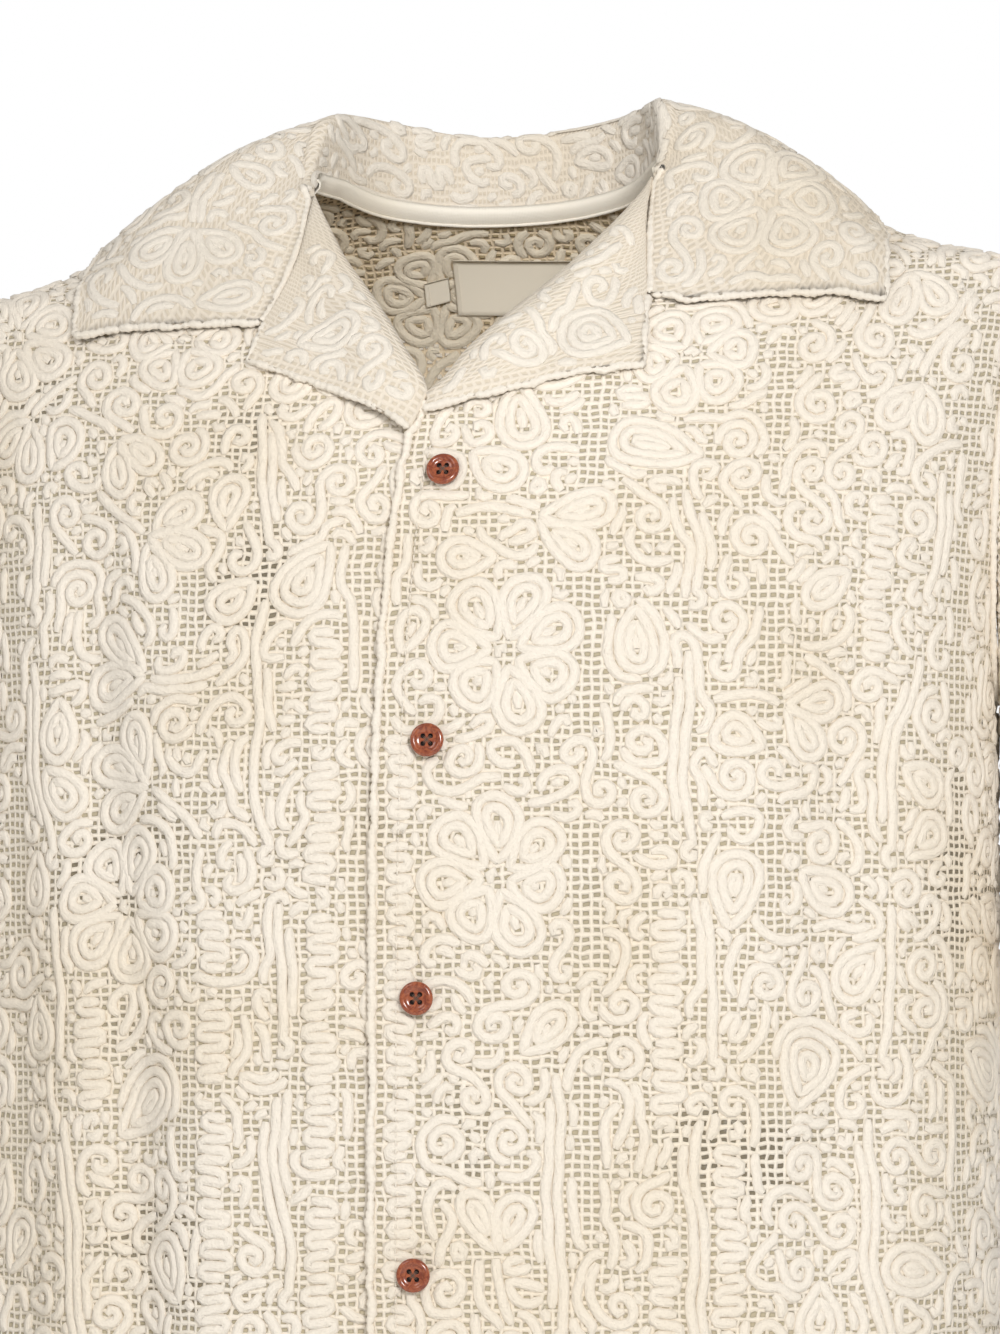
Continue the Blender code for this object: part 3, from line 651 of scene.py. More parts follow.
def band(layout, us, vs):
    """Long cords up the cloth, one after the other, some of them doubled and curled at the foot."""
    v = np.arange(min(vs), max(vs), 5.0)
    u = np.interp(v, vs, us) + 3.4 * np.sin(v / 27 + us[0]) + 1.5 * np.sin(v / 11.3 + us[1])
    start, k = 0, int(us[0]) % 4
    while start < len(v) - 6:
        part = slice(start, start + (17, 12, 22, 14)[k % 4])
        line = np.stack((u[part], v[part]), 1)
        side = 1 if k % 2 else -1
        curl = spiral(4.6)[0] * (side, 1) + line[0] - (0, 4.6)
        layout.take([bent(np.concatenate((line[::-1], curl)))], BAND_LIFT)
        if k % 3:
            layout.take([bent(line[2:-2] + (side * PITCH, 0))], BAND_LIFT)
        start, k = part.stop + 4, k + 1


def ladder_column(layout, u, v0, v1, width, slant=0.0):
    """A column of a cord run to and fro, broken now and then by a coil."""
    d, v = layout.dice, v0
    while v < v1:
        rungs = d.choice((5, 6, 7, 8, 10))
        tall = rungs * PITCH * 0.98
        aside = u + slant * (v - v0)
        shape = ladder(width + d.uniform(-0.8, 0.8), rungs)
        layout.put(shape, (aside, v + tall / 2), d.uniform(-0.03, 0.03))
        v += tall + 0.3
        if d.random() < 0.45:
            aside = u + slant * (v - v0)
            layout.put(spiral(width / 2 - 1.6), (aside, v + width / 2 - 1), d.uniform(0, 6))
            v += width - 1


def wander(flat):
    """A slow sway of the whole drawing, as cords have that are laid by hand."""
    u, v = flat[:, 0], flat[:, 1]
    aside = 0.9 * np.sin(v / 9.1 + 1.3 * np.sin(u / 17)) + 0.36 * np.sin(v / 3.7 + u / 5.1)
    along = 0.9 * np.sin(u / 8.7 + 1.1 * np.sin(v / 19)) + 0.36 * np.sin(u / 4.1 - v / 5.3)
    return flat + np.stack((aside, along), 1)


def join(name, verts, faces, material, uvs):
    """One piece from lists of points, faces and places on the cut."""
    piece = new_piece(name, np.concatenate(verts), np.concatenate(faces), material, np.concatenate(uvs))
    return piece


# a cord's section from foot to foot, as shares of half its width and of its height
CORD_SECTION = np.array(((-1, 0), (-0.84, 0.74), (0, 1), (0.84, 0.74), (1, 0)))
UNEVEN_WIDTH, UNEVEN_HEIGHT = (1.0, 1.18), (0.86, 1.1)


def cord_mesh(name, layouts, material, step=2.4, raise_by=1.5, inward=False, only=None, base=0.0):
    """The cords as low, flat strips on the cloth, a little uneven in width and height.

    step: between the sections along a cord; base: how far the feet stand off the line of the cloth.
    """
    verts, faces, uvs, count, corners = [], [], [], 0, len(CORD_SECTION)
    section = CORD_SECTION
    rng = np.random.default_rng(len(name))
    for layout in layouts:
        cut = layout.cut
        normals = -cut.normal if inward else cut.normal
        for line, lift in layout.lines:
            flat = wander(bent(line, step))
            held, place, normal = cut.look_up(flat, cut.inside, cut.place, normals)
            keep = held > 0.8
            if only is not None:
                keep &= only(place)
            marks = np.flatnonzero(np.diff(np.concatenate(([0], keep.astype(int), [0]))))
            for a, b in zip(marks[::2], marks[1::2]):
                if b - a < 3:
                    continue
                p, n = place[a:b], unit(normal[a:b])
                t = unit(np.gradient(p, axis=0))
                s = unit(np.cross(n, t))
                wide = CORD / 2 * rng.uniform(*UNEVEN_WIDTH, b - a)
                tall = raise_by * rng.uniform(*UNEVEN_HEIGHT, b - a)
                wide[[0, -1]] *= 0.62
                tall[[0, -1]] *= 0.3
                p = p.copy()
                p[0] -= t[0] * 0.5
                p[-1] += t[-1] * 0.5
                away = section[None, :, 0, None] * wide[:, None, None] * s[:, None]
                away = away + (section[None, :, 1, None] * tall[:, None, None] + base + lift) * n[:, None]
                verts.append((p[:, None] + away).reshape(-1, 3))
                faces.append(grid_faces(b - a, corners, count))
                along = np.repeat((np.arange(b - a) * step + rng.uniform(0, 900)) * MM, corners)
                uvs.append(np.stack((along, np.tile(np.linspace(0, 1, corners), b - a)), 1))
                count += corners * (b - a)
    return join(name, verts, faces, material, uvs)


# along a turned edge: the whipping's pitch, and how often it sways and thickens
WHIP_PITCH, SWAY_PITCH, LUMP_PITCH = 3.4, 5.3, 3.7
ROUND = 9  # points round a turned edge, the first one twice


def edge_roll(name, lines, radius, material, seed, lumpy=1.0):
    """A turned edge, whipped over with thread: a bumpy round edge along each line."""
    rng = np.random.default_rng(seed)
    verts, faces, uvs, count = [], [], [], 0
    for points in lines:
        points = np.asarray(points, float)
        run = run_along(points)
        at = np.linspace(0, run[-1], int(run[-1] / min(1.15, radius)) + 2)
        line = np.stack([np.interp(at, run, points[:, k]) for k in range(3)], 1)
        knots = np.arange(0, run[-1] + 12, SWAY_PITCH)
        sway = [np.interp(at, knots, rng.normal(0, 0.14 * lumpy * radius, len(knots))) for _ in range(3)]
        line += np.stack(sway, 1)
        ahead = unit(np.gradient(line, axis=0))
        side = unit(np.cross(ahead, np.array((0.31, 0.83, 0.46))))
        over = np.cross(side, ahead)
        marks = np.arange(0, run[-1] + 8, LUMP_PITCH)
        lumps = np.interp(at, marks, rng.uniform(-0.16, 0.2, len(marks)))
        swell = radius * (1 + lumpy * (0.11 * np.sin(at * math.tau / WHIP_PITCH) + lumps))
        swell[[0, -1]] *= 0.15  # the ends are closed
        turn = np.linspace(0, math.tau, ROUND)[:-1]
        hoop = np.cos(turn)[:, None] * side[:, None] + np.sin(turn)[:, None] * over[:, None]
        tube = line[:, None] + hoop * swell[:, None, None]
        verts.append(np.concatenate((tube, tube[:, :1]), 1).reshape(-1, 3))
        faces.append(grid_faces(len(at), ROUND, count))
        uv = np.broadcast_arrays(at[:, None] * MM, np.linspace(0.2, 0.8, ROUND))
        uvs.append(np.stack(uv, -1).reshape(-1, 2))
        count += ROUND * len(at)
    return join(name, verts, faces, material, uvs)


# The cloth's finish, shared by net and cords
def new_material(name):
    made = bpy.data.materials.new(name)
    made.use_nodes = True
    nodes, links = made.node_tree.nodes, made.node_tree.links
    return made, nodes, links, nodes["Principled BSDF"]


def add(nodes, kind, **values):
    node = nodes.new(kind)
    for name, value in values.items():
        setattr(node, name, value)
    return node


def node_group(name, inputs, outputs):
    tree = bpy.data.node_groups.new(name, "ShaderNodeTree")
    for label, kind, value in inputs:
        socket = tree.interface.new_socket(label, in_out="INPUT", socket_type=kind)
        if value is not None:
            socket.default_value = value
    for label, kind in outputs:
        tree.interface.new_socket(label, in_out="OUTPUT", socket_type=kind)
    return tree, tree.nodes.new("NodeGroupInput"), tree.nodes.new("NodeGroupOutput")


def math_node(tree, operation, a, b=None, clamp=False):
    node = add(tree.nodes, "ShaderNodeMath", operation=operation, use_clamp=clamp)
    for k, value in enumerate((a, b)):
        if value is None:
            continue
        if isinstance(value, (int, float)):
            node.inputs[k].default_value = value
        else:
            tree.links.new(value, node.inputs[k])
    return node.outputs[0]


def noise_node(tree, where, scale, detail=2.0):
    node = add(tree.nodes, "ShaderNodeTexNoise")
    node.inputs["Scale"].default_value, node.inputs["Detail"].default_value = scale, detail
    tree.links.new(where, node.inputs["Vector"])
    return node


def bump_node(tree, height, strength, distance, shader):
    node = add(tree.nodes, "ShaderNodeBump")
    node.inputs["Strength"].default_value, node.inputs["Distance"].default_value = strength, distance
    tree.links.new(height, node.inputs["Height"])
    tree.links.new(node.outputs["Normal"], shader.inputs["Normal"])


def set_sockets(node, **values):
    """Fixed values of sockets, by their names with _ for spaces."""
    for name, value in values.items():
        node.inputs[name.replace("_", " ")].default_value = value


def ramp_node(tree, value, low, high, to_low=0.0, to_high=1.0):
    node = add(tree.nodes, "ShaderNodeMapRange", interpolation_type="SMOOTHSTEP")
    tree.links.new(value, node.inputs["Value"])
    node.inputs["From Min"].default_value, node.inputs["From Max"].default_value = low, high
    node.inputs["To Min"].default_value, node.inputs["To Max"].default_value = to_low, to_high
    return node.outputs["Result"]


def yarn_tint_group():
    """Natural cotton: a slow change of tone and small flecks, and painted shade, darker and browner, by its
    Shade input.
    """
    tree, given, out = node_group(
        "cotton_tone_and_painted_shade",
        [("Tone", "NodeSocketColor", (0.85, 0.78, 0.66, 1)), ("Shade", "NodeSocketFloat", 0.0)],
        [("Color", "NodeSocketColor"), ("Fibre", "NodeSocketFloat")],
    )
    where = add(tree.nodes, "ShaderNodeTexCoord").outputs["Object"]
    slow, fine = noise_node(tree, where, 9, 3), noise_node(tree, where, 900, 4)
    warm = add(tree.nodes, "ShaderNodeMix", data_type="RGBA", blend_type="MULTIPLY")
    warm.inputs["B"].default_value = (0.97, 0.945, 0.895, 1)
    tree.links.new(given.outputs["Tone"], warm.inputs["A"])
    tree.links.new(ramp_node(tree, slow.outputs["Fac"], 0.42, 0.68), warm.inputs["Factor"])
    # painted shade: the Shade input darkens the tone towards brown
    shade = add(tree.nodes, "ShaderNodeMix", data_type="RGBA", blend_type="MULTIPLY")
    shade.inputs["B"].default_value = (0.62, 0.52, 0.38, 1)
    tree.links.new(warm.outputs["Result"], shade.inputs["A"])
    tree.links.new(given.outputs["Shade"], shade.inputs["Factor"])
    tree.links.new(shade.outputs["Result"], out.inputs["Color"])
    tree.links.new(fine.outputs["Fac"], out.inputs["Fibre"])
    return tree


cotton = yarn_tint_group()


def cotton_node(tree, tone):
    node = add(tree.nodes, "ShaderNodeGroup", node_tree=cotton)
    node.inputs["Tone"].default_value = tone
    return node


def cord_finish(name, tone):
    """Soft cord with fibres along it, and painted shade along its edges where it dips to the net."""
    made, nodes, links, shader = new_material(name)
    tree = made.node_tree
    flat = add(nodes, "ShaderNodeUVMap", uv_map="flat_cut")
    apart = add(nodes, "ShaderNodeSeparateXYZ")
    links.new(flat.outputs["UV"], apart.inputs[0])
    across = math_node(tree, "ABSOLUTE", math_node(tree, "SUBTRACT", apart.outputs["Y"], 0.5))
    tint = cotton_node(tree, tone)
    # painted shade: the cord darkens towards its two edges
    links.new(ramp_node(tree, across, 0.38, 0.5, 0.0, 0.34), tint.inputs["Shade"])
    links.new(tint.outputs["Color"], shader.inputs["Base Color"])
    stretch = add(nodes, "ShaderNodeCombineXYZ")
    links.new(math_node(tree, "MULTIPLY", apart.outputs["X"], 300.0), stretch.inputs["X"])
    links.new(math_node(tree, "MULTIPLY", apart.outputs["Y"], 7.0), stretch.inputs["Y"])
    strands = noise_node(tree, stretch.outputs[0], 1.0, 3)
    fibre = math_node(tree, "MULTIPLY", tint.outputs["Fibre"], 0.5)
    bump_node(tree, math_node(tree, "ADD", strands.outputs["Fac"], fibre), 0.9, 0.0009, shader)
    set_sockets(shader, Roughness=0.88, Sheen_Weight=0.15, Specular_IOR_Level=0.2)
    return made


def net_group():
    """Square knotted net by the flat cut: threads, holes and their height."""
    tree, given, out = node_group(
        "square_net",
        [
            ("Flat", "NodeSocketVector", None),
            ("Across", "NodeSocketFloat", 0.0041),
            ("Down", "NodeSocketFloat", 0.0036),
            ("Upright", "NodeSocketFloat", 0.21),
            ("Level", "NodeSocketFloat", 0.27),
        ],
        [("Hole", "NodeSocketFloat"), ("Height", "NodeSocketFloat")],
    )
    sway = noise_node(tree, given.outputs["Flat"], 110, 2)
    moved = math_node(tree, "MULTIPLY", math_node(tree, "SUBTRACT", sway.outputs["Fac"], 0.5), 0.9)
    apart = add(tree.nodes, "ShaderNodeSeparateXYZ")
    tree.links.new(given.outputs["Flat"], apart.inputs[0])
    sides = []
    for axis, pitch in (("X", "Across"), ("Y", "Down")):
        cells = math_node(tree, "DIVIDE", apart.outputs[axis], given.outputs[pitch])
        cells = math_node(tree, "ADD", cells, moved)
        sides.append(math_node(tree, "PINGPONG", cells, 0.5))
    edges = [given.outputs["Upright"], given.outputs["Level"]]
    openings = []
    for side, edge in zip(sides, edges):
        node = add(tree.nodes, "ShaderNodeMapRange", interpolation_type="SMOOTHSTEP")
        tree.links.new(side, node.inputs["Value"])
        tree.links.new(math_node(tree, "SUBTRACT", edge, 0.09), node.inputs["From Min"])
        tree.links.new(math_node(tree, "ADD", edge, 0.09), node.inputs["From Max"])
        openings.append(node.outputs["Result"])
    hole = math_node(tree, "MULTIPLY", openings[0], openings[1])
    tree.links.new(ramp_node(tree, hole, 0.3, 0.55), out.inputs["Hole"])
    crown = []
    for side, edge in zip(sides, edges):
        share = math_node(tree, "DIVIDE", side, math_node(tree, "MULTIPLY", edge, 1.3), clamp=True)
        crown.append(math_node(tree, "SUBTRACT", 1.0, math_node(tree, "POWER", share, 2.0)))
    tree.links.new(math_node(tree, "MAXIMUM", crown[0], crown[1]), out.inputs["Height"])
    return tree


square_net = net_group()


def net_finish(name, tone, hole, see_through):
    """Net of cotton thread, with painted shade on the low sides of its threads. A single ply is open, and
    its holes, partly see-through, are painted a dark tan as painted shade of the inside behind them. A
    second ply closes the holes behind, and they are painted a darker tone as painted shade of that ply.
    """
    made, nodes, links, shader = new_material(name)
    tree = made.node_tree
    flat = add(nodes, "ShaderNodeUVMap", uv_map="flat_cut")
    net = add(nodes, "ShaderNodeGroup", node_tree=square_net)
    links.new(flat.outputs["UV"], net.inputs["Flat"])
    tint = cotton_node(tree, tone)
    # painted shade: the threads darken towards their low sides
    low = ramp_node(tree, net.outputs["Height"], 0.7, 0.1, 0.0, 0.3 if see_through else 0.12)
    links.new(low, tint.inputs["Shade"])
    if see_through:
        links.new(ramp_node(tree, net.outputs["Hole"], 0.0, 1.0, 1.0, 0.72), shader.inputs["Alpha"])
    # painted shade: the holes take the hole colour in place of the shade seen through them
    behind = add(nodes, "ShaderNodeMix", data_type="RGBA")
    # on an open net, here and there the holes are painted darker still, painted shade of the dark inside
    painted_shade_patches = noise_node(tree, add(nodes, "ShaderNodeTexCoord").outputs["Object"], 11, 1)
    inside = add(nodes, "ShaderNodeMix", data_type="RGBA")
    inside.inputs["A"].default_value = hole
    inside.inputs["B"].default_value = [c * 0.42 for c in hole[:3]] + [1] if see_through else hole
    links.new(ramp_node(tree, painted_shade_patches.outputs["Fac"], 0.57, 0.70), inside.inputs["Factor"])
    links.new(inside.outputs["Result"], behind.inputs["B"])
    links.new(net.outputs["Hole"], behind.inputs["Factor"])
    links.new(tint.outputs["Color"], behind.inputs["A"])
    colour = behind.outputs["Result"]
    if see_through:
        # painted shade: the wrong side, away from the light, is painted browner
        side = add(nodes, "ShaderNodeNewGeometry")
        backface_painted_shade = add(nodes, "ShaderNodeMix", data_type="RGBA", blend_type="MULTIPLY")
        backface_painted_shade.inputs["B"].default_value = (0.84, 0.72, 0.52, 1)
        links.new(math_node(tree, "MULTIPLY", side.outputs["Backfacing"], 0.7), backface_painted_shade.inputs["Factor"])
        links.new(colour, backface_painted_shade.inputs["A"])
        colour = backface_painted_shade.outputs["Result"]
    links.new(colour, shader.inputs["Base Color"])
    fibre = math_node(tree, "MULTIPLY", tint.outputs["Fibre"], 0.25)
    height = math_node(tree, "ADD", net.outputs["Height"], fibre)
    bump_node(tree, height, 0.8 if see_through else 0.4, 0.0012, shader)
    set_sockets(shader, Roughness=0.92, Sheen_Weight=0.1, Specular_IOR_Level=0.15)
    return made


# the fronts, back and sleeves have bleached cord on an open net; the collar and lapels have the same
# cord painted darker, painted shade where they face up away from the frontal light, on a closed net
cord_cotton = cord_finish("cord_cotton", (0.88, 0.805, 0.70, 1))
ply_cotton_painted_shade = cord_finish("ply_cotton_painted_shade", (0.81, 0.745, 0.65, 1))
open_net = net_finish("open_net", (0.87, 0.79, 0.675, 1), (0.65, 0.565, 0.40, 1), True)
close_net = net_finish("close_net", (0.765, 0.685, 0.575, 1), (0.67, 0.585, 0.465, 1), False)


def front_points(edge, roll, side):
    """One front, with the length from the middle front to its first column."""
    x = np.where(LEVELS < BREAK, edge(LEVELS), roll(LEVELS))
    start = turn_at(x, LEVELS)
    turns = panel_turns(start, side * side_turn(LEVELS, True), 90 * side, PANEL_COLUMNS)
    sink = UNDER_SINK * smooth(-50, -30, ring_point(turns, LEVELS[:, None])[..., 0]) if side < 0 else 0
    points = body(turns, LEVELS[:, None], -sink)
    first = arc_from(0.0, start, LEVELS)
    if side < 0:
        points = points[:, ::-1]
        first = first - np.linalg.norm(np.diff(points, axis=1), axis=2).sum(1)
    return points, first


def lace_front(edge, roll, side, seed):
    points, first = front_points(edge, roll, side)
    cut = Cut(points, first)
    return points, cut, Layout(cut, seed)


def hang(name, cut):
    """The net takes the place of its CAD panel, which is hidden; the flat cut's area is worked out but not
    used.
    """
    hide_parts(name)
    float(cut.area())


NET_DEPTH = 1.2  # how far the net lies inside the line of the cloth
HEM_RADIUS, PLACKET_RADIUS = 1.9, 1.8
left_points, left_cut, left_layout = lace_front(top_edge, left_roll, 1, 11)
right_points, right_cut, right_layout = lace_front(under_edge, right_roll, -1, 23)

# The drawing of the left front, across from the middle and up from the hem: ladder columns beside
# long cords, flowers and sprigs beside the buttons, and stretches of bare net
LEFT_FLOWERS = ((62, 22, 29, 6), (242, 20, 31, 7), (392, 26, 33, 7), (486, 30, 34, 7))
LEFT_SPRIGS = (
    # height, aside, reach, turn
    (150, 22, 34, 2.2),
    (330, 24, 32, -2.1),
    (545, 62, 36, 1.2),
    (455, 84, 30, 2.6),
    (300, 82, 30, -1.9),
)
lay = left_layout
band(lay, (108, 112, 114, 106, 104), (0, 150, 330, 470, 560))
band(lay, (196, 192, 189, 200, 214, 222), (0, 170, 300, 420, 520, 575))
band(lay, (56, 52, 50, 57), (20, 120, 240, 330))
ladder_column(lay, 97, 10, 430, 12)
ladder_column(lay, 123.5, 90, 300, 11)
ladder_column(lay, 181, 60, 520, 12, 0.02)
ladder_column(lay, -14, 6, 560, 10)
for v, u, radius, petals in LEFT_FLOWERS:
    lay.put(flower(radius, petals), (u, v), v)
for v, u, reach, turn in LEFT_SPRIGS:
    lay.put(sprig(reach), (u, v), turn)
for v in (30, 130, 245, 352, 455, 560):
    lay.block(60, 69, v, v + 62)
    lay.block(138, 146, v + 20, v + 70)
    lay.block(232, 240, v, v + 80)
fill(lay)

lay = right_layout
band(lay, (-62, -58, -66, -76, -80), (0, 150, 330, 470, 600))
band(lay, (-176, -166, -172, -190, -196), (0, 150, 300, 440, 560))
ladder_column(lay, -48, 20, 480, 12)
ladder_column(lay, -92, 60, 420, 12, -0.01)
ladder_column(lay, -160, 40, 330, 12)
for v, reach, shape in ((110, 31, flower), (280, 30, flower), (430, 32, sprig), (540, 30, sprig)):
    lay.put(shape(reach, 6 if shape is flower else 3), (-124 - (v * 5) % 13, v), v)
for v in (20, 140, 250, 366, 470):
    lay.block(-34, -27, v, v + 66)
    lay.block(-112, -104, v + 20, v + 70)
    lay.block(-215, -206, v, v + 70)
fill(lay)

# a row of stitches down the left front, where its facing is sewn
STITCH_IN, STITCH_PITCH, STITCH_LONG = 10.5, 3.4, 2.5
placket_stitches = []
for level in np.arange(-122.0, -696.0, -STITCH_PITCH):
    ends = np.linspace(level, level - STITCH_LONG, 4)
    sunk = 0.35 - 0.9 * np.abs(np.linspace(-1, 1, 4)) ** 3
    placket_stitches.append(body(turn_at(top_edge(ends) + STITCH_IN, ends), ends, sunk))
edge_roll("placket_stitches", placket_stitches, 0.38, cord_cotton, 3, 0.0)

for name, points, cut, layout in (
    ("front_left", left_points, left_cut, left_layout),
    ("front_right", right_points, right_cut, right_layout),
):
    normals = grid_normals(points)
    net = net_shell(f"{name}_net", cut, points - normals * NET_DEPTH, open_net)
    cords = cord_mesh(f"{name}_cords", [layout], cord_cotton, base=-NET_DEPTH)
    below = LEVELS < BREAK + 3
    placket = points[below, 0 if name == "front_left" else -1] - normals[below, 0] * 0.4
    placket_roll = edge_roll(f"{name}_edge", [placket], PLACKET_RADIUS, cord_cotton, 5, 1.8)
    hem = edge_roll(f"{name}_hem", [points[0]], HEM_RADIUS, cord_cotton, 7)
    hang(name, cut)

# ---------------------------------------------------------------- The lace back
# One panel of the same lace from side seam to side seam, cut on the fold. Its cords show on the
# inside too, where the neck is open.

NECK_MIDDLE, NECK_HALF, NECK_BACK = 2.0, 76.0, 62.3


def neck_level(turn):
    """The back neck seam by its level."""

    def outside(level):
        points = ring_point(turn, level)
        return np.hypot((points[..., 0] - NECK_MIDDLE) / NECK_HALF, points[..., 1] / NECK_BACK) > 1

    return np.minimum(solve(np.full(np.shape(turn), -20.0), float(RINGS[0][0]), outside), NECK_TOP)


def back_points():
    middle = np.full(len(LEVELS), 180.0)
    turns = panel_turns(middle, side_turn(LEVELS, False), 90.0, PANEL_COLUMNS)[:, ::-1]
    turns = np.concatenate((turns, 360 - turns[:, -2::-1]), 1)
    drop = (NECK_TOP - neck_level(turns)) * smooth(-60, NECK_TOP, LEVELS)[:, None]
    points = body(turns, LEVELS[:, None] - drop)
    run = np.linalg.norm(np.diff(points, axis=1), axis=2)
    return points, -run[:, : points.shape[1] // 2].sum(1)


points, first = back_points()
back_cut = Cut(points, first)
lay = Layout(back_cut, 37)
for side in (-1, 1):
    band(lay, (side * 70, side * 76, side * 72, side * 60), (0, 200, 420, 600))
    band(lay, (side * 166, side * 160, side * 172, side * 180), (0, 200, 420, 600))
    ladder_column(lay, side * 88, 20, 560, 12)
    ladder_column(lay, side * 150, 60, 500, 12)
for v in (60, 200, 330, 470, 600):
    lay.put(flower(31, 7), (0, v), v)
    for side in (-1, 1):
        lay.put(flower(28, 6), (side * 119, v + 50), v)
fill(lay)
normals = grid_normals(points)
back_net = net_shell("back_net", back_cut, points - normals * NET_DEPTH, open_net)
back_cords = cord_mesh("back_cords", [lay], cord_cotton, step=3.0, base=-NET_DEPTH)
# painted shade: the cords seen inside the back get a darker, browner copy of the cord's tone
inner_cotton_painted_shade = cord_finish("inner_cotton_painted_shade", (0.80, 0.71, 0.56, 1))


def in_view(place):
    """The part of the inside that shows through the neck, clear of the neck tape."""
    x, y, z = place.T
    off_tape = np.hypot((x - NECK_MIDDLE) / (NECK_HALF + 8), y / (NECK_BACK + 8)) > 1
    return (z > -240) & (abs(x) < 120) & off_tape


inside_cords = cord_mesh(
    "back_cords_inside", [lay], inner_cotton_painted_shade, 2.6, 1.05, inward=True, only=in_view, base=NET_DEPTH
)
back_hem = edge_roll("back_hem", [points[0]], HEM_RADIUS, cord_cotton, 13)
hang("back", back_cut)

# ---------------------------------------------------------------- The sleeves
# Short set-in sleeves of the same lace, each cut in one piece. They are sewn round the armholes,
# with a rolled seam that shows, and hemmed at the cuff.

CROWN = ((246, -47), (268, -57), (297, -94), (320, -180), (337, -296))
UNDER = ((227, -235), (227.8, -270), (229, -305), (231, -340), (233, -368))
CUFF_DEPTH, SLEEVE_GAP = 64.0, 0.9


def line_through(points):
    """A smooth line in x and level by the share of its length."""
    run = np.concatenate(([0], np.cumsum([math.dist(a, b) for a, b in zip(points, points[1:])])))
    rows = [(at / run[-1], *point) for at, point in zip(run, points)]
    return curve_through(rows, 1), curve_through(rows, 2)


def sleeve_points(side, rows=44, columns=84):
    """A tube from the armhole's edge, which it meets exactly, to the oval cuff."""
    crown, under = line_through(CROWN), line_through(UNDER)
    turn = np.linspace(0, math.tau, columns)
    height, forward = -np.cos(turn), np.where(turn < math.pi, -1.0, 1.0)
    round_share = abs(np.sin(turn))
    reach = np.where(forward < 0, ARMHOLE_FRONT, ARMHOLE_BACK)
    level = ARMHOLE_MIDDLE + ARMHOLE_HALF * height
    edge = ring_point(turn_at_depth(forward * reach * round_share, level), level)
    t = np.linspace(0, 1, rows)
    t = mix(t * t, t, 0.6)[:, None]
    top = np.stack((crown[0](t), 0 * t, crown[1](t)), -1)
    low = np.stack((under[0](t), 0 * t, under[1](t)), -1)
    oval = (top + low) / 2 + (top - low) / 2 * height[:, None]
    oval[..., 1] = forward * mix(reach, CUFF_DEPTH, smooth(0, 1, t)) * round_share
    base = (top[0] + low[0]) / 2 + (top[0] - low[0]) / 2 * height[:, None]
    base[:, 1] = edge[:, 1]
    points = oval + (edge - base)[None] * (1 - smooth(0, 0.75, t))[..., None]
    points[0, :, 0] += SLEEVE_GAP
    points = points[::-1]
    if side < 0:
        points = (points * (-1, 1, 1))[:, ::-1]
    return lean(points)


for side, name, seed in ((1, "sleeve_left", 41), (-1, "sleeve_right", 53)):
    points = sleeve_points(side)
    cut = Cut(points)
    lay = Layout(cut, seed)
    middle = float(cut.across[0, -1]) / 2
    for u in (0.25, 0.5, 0.75):
        band(lay, (2 * middle * u, 2 * middle * u), (4, 260))
        ladder_column(lay, 2 * middle * u + 9, 10, 230, 11)
    fill(lay)
    normals = grid_normals(points)
    net = net_shell(f"{name}_net", cut, points - normals * NET_DEPTH, open_net)
    cords = cord_mesh(f"{name}_cords", [lay], cord_cotton, step=2.8, base=-NET_DEPTH)
    cuff_line, armhole = (np.concatenate((points[k], points[k, :3])) for k in (0, -1))
    cuff = edge_roll(f"{name}_cuff", [cuff_line], HEM_RADIUS, cord_cotton, seed)
    armhole = armhole - (side * (SLEEVE_GAP + SEAM_GAP), 0, 0)
    armhole_seam = edge_roll(f"{name}_armhole_seam", [armhole], 1.7, cord_cotton, seed + 1, 0.8)
    hang(name, cut)

# ---------------------------------------------------------------- The collar
# A one-piece camp collar of two plies of lace. It stands at the back neck, turns over at the fold
# and lies open on the shoulders, and it is sewn to the lapels at the gorge.

SEAM_ABOVE, COLLAR_CLOTH, COLLAR_REST = 0.7, 2.6, 4.4
LEAF_MIDDLE, FOLD_RADIUS, FOLD_RADIUS_AT_GORGE, FALL_PUFF = 8.0, 4.2, 3.0, 1.5
LEFT_POINT_SHIFT, RIGHT_FOLD_RISE, RIGHT_FOLD_RISE_AT = 9.0, 4.0, (-52, 24)
GORGE_GAP = 0.7
COLLAR_HALF = (
    # seam x, seam y, fold level, edge x, edge y, from the gorge to the middle back
    (-76.0, -18, 3, -87.5, -69.5),
    (-77.0, -12, 8, -107, -66.5),
    (-77.6, -6, 16, -130, -62.5),
    (-76.5, 1, 26, -152, -58),
    (-74, 9, 36.5, -173, -53.5),
    (-71, 18, 40, -174.5, -34),
    (-67, 28, 40.5, -171, -10),
    (-61.5, 37.5, 40, -164, 16),
    (-53.5, 46, 38.5, -154, 43),
    (-42.5, 53, 37.3, -130, 67),
    (-29.5, 58.3, 36.2, -96, 86),
    (-15, 61.3, 35.3, -50, 99),
    (0, 62.3, 35, 0, 104),
)
# side, x and level at the neck, x and level at the notch, bow
RIGHT_GORGE = (-1, -74.5, -3.5, -86, -66, 4)
LEFT_GORGE = (1, 78, -3.5, 82, -61, 1)
FALL_SHARES = np.linspace(0, 1, 30)[1:]


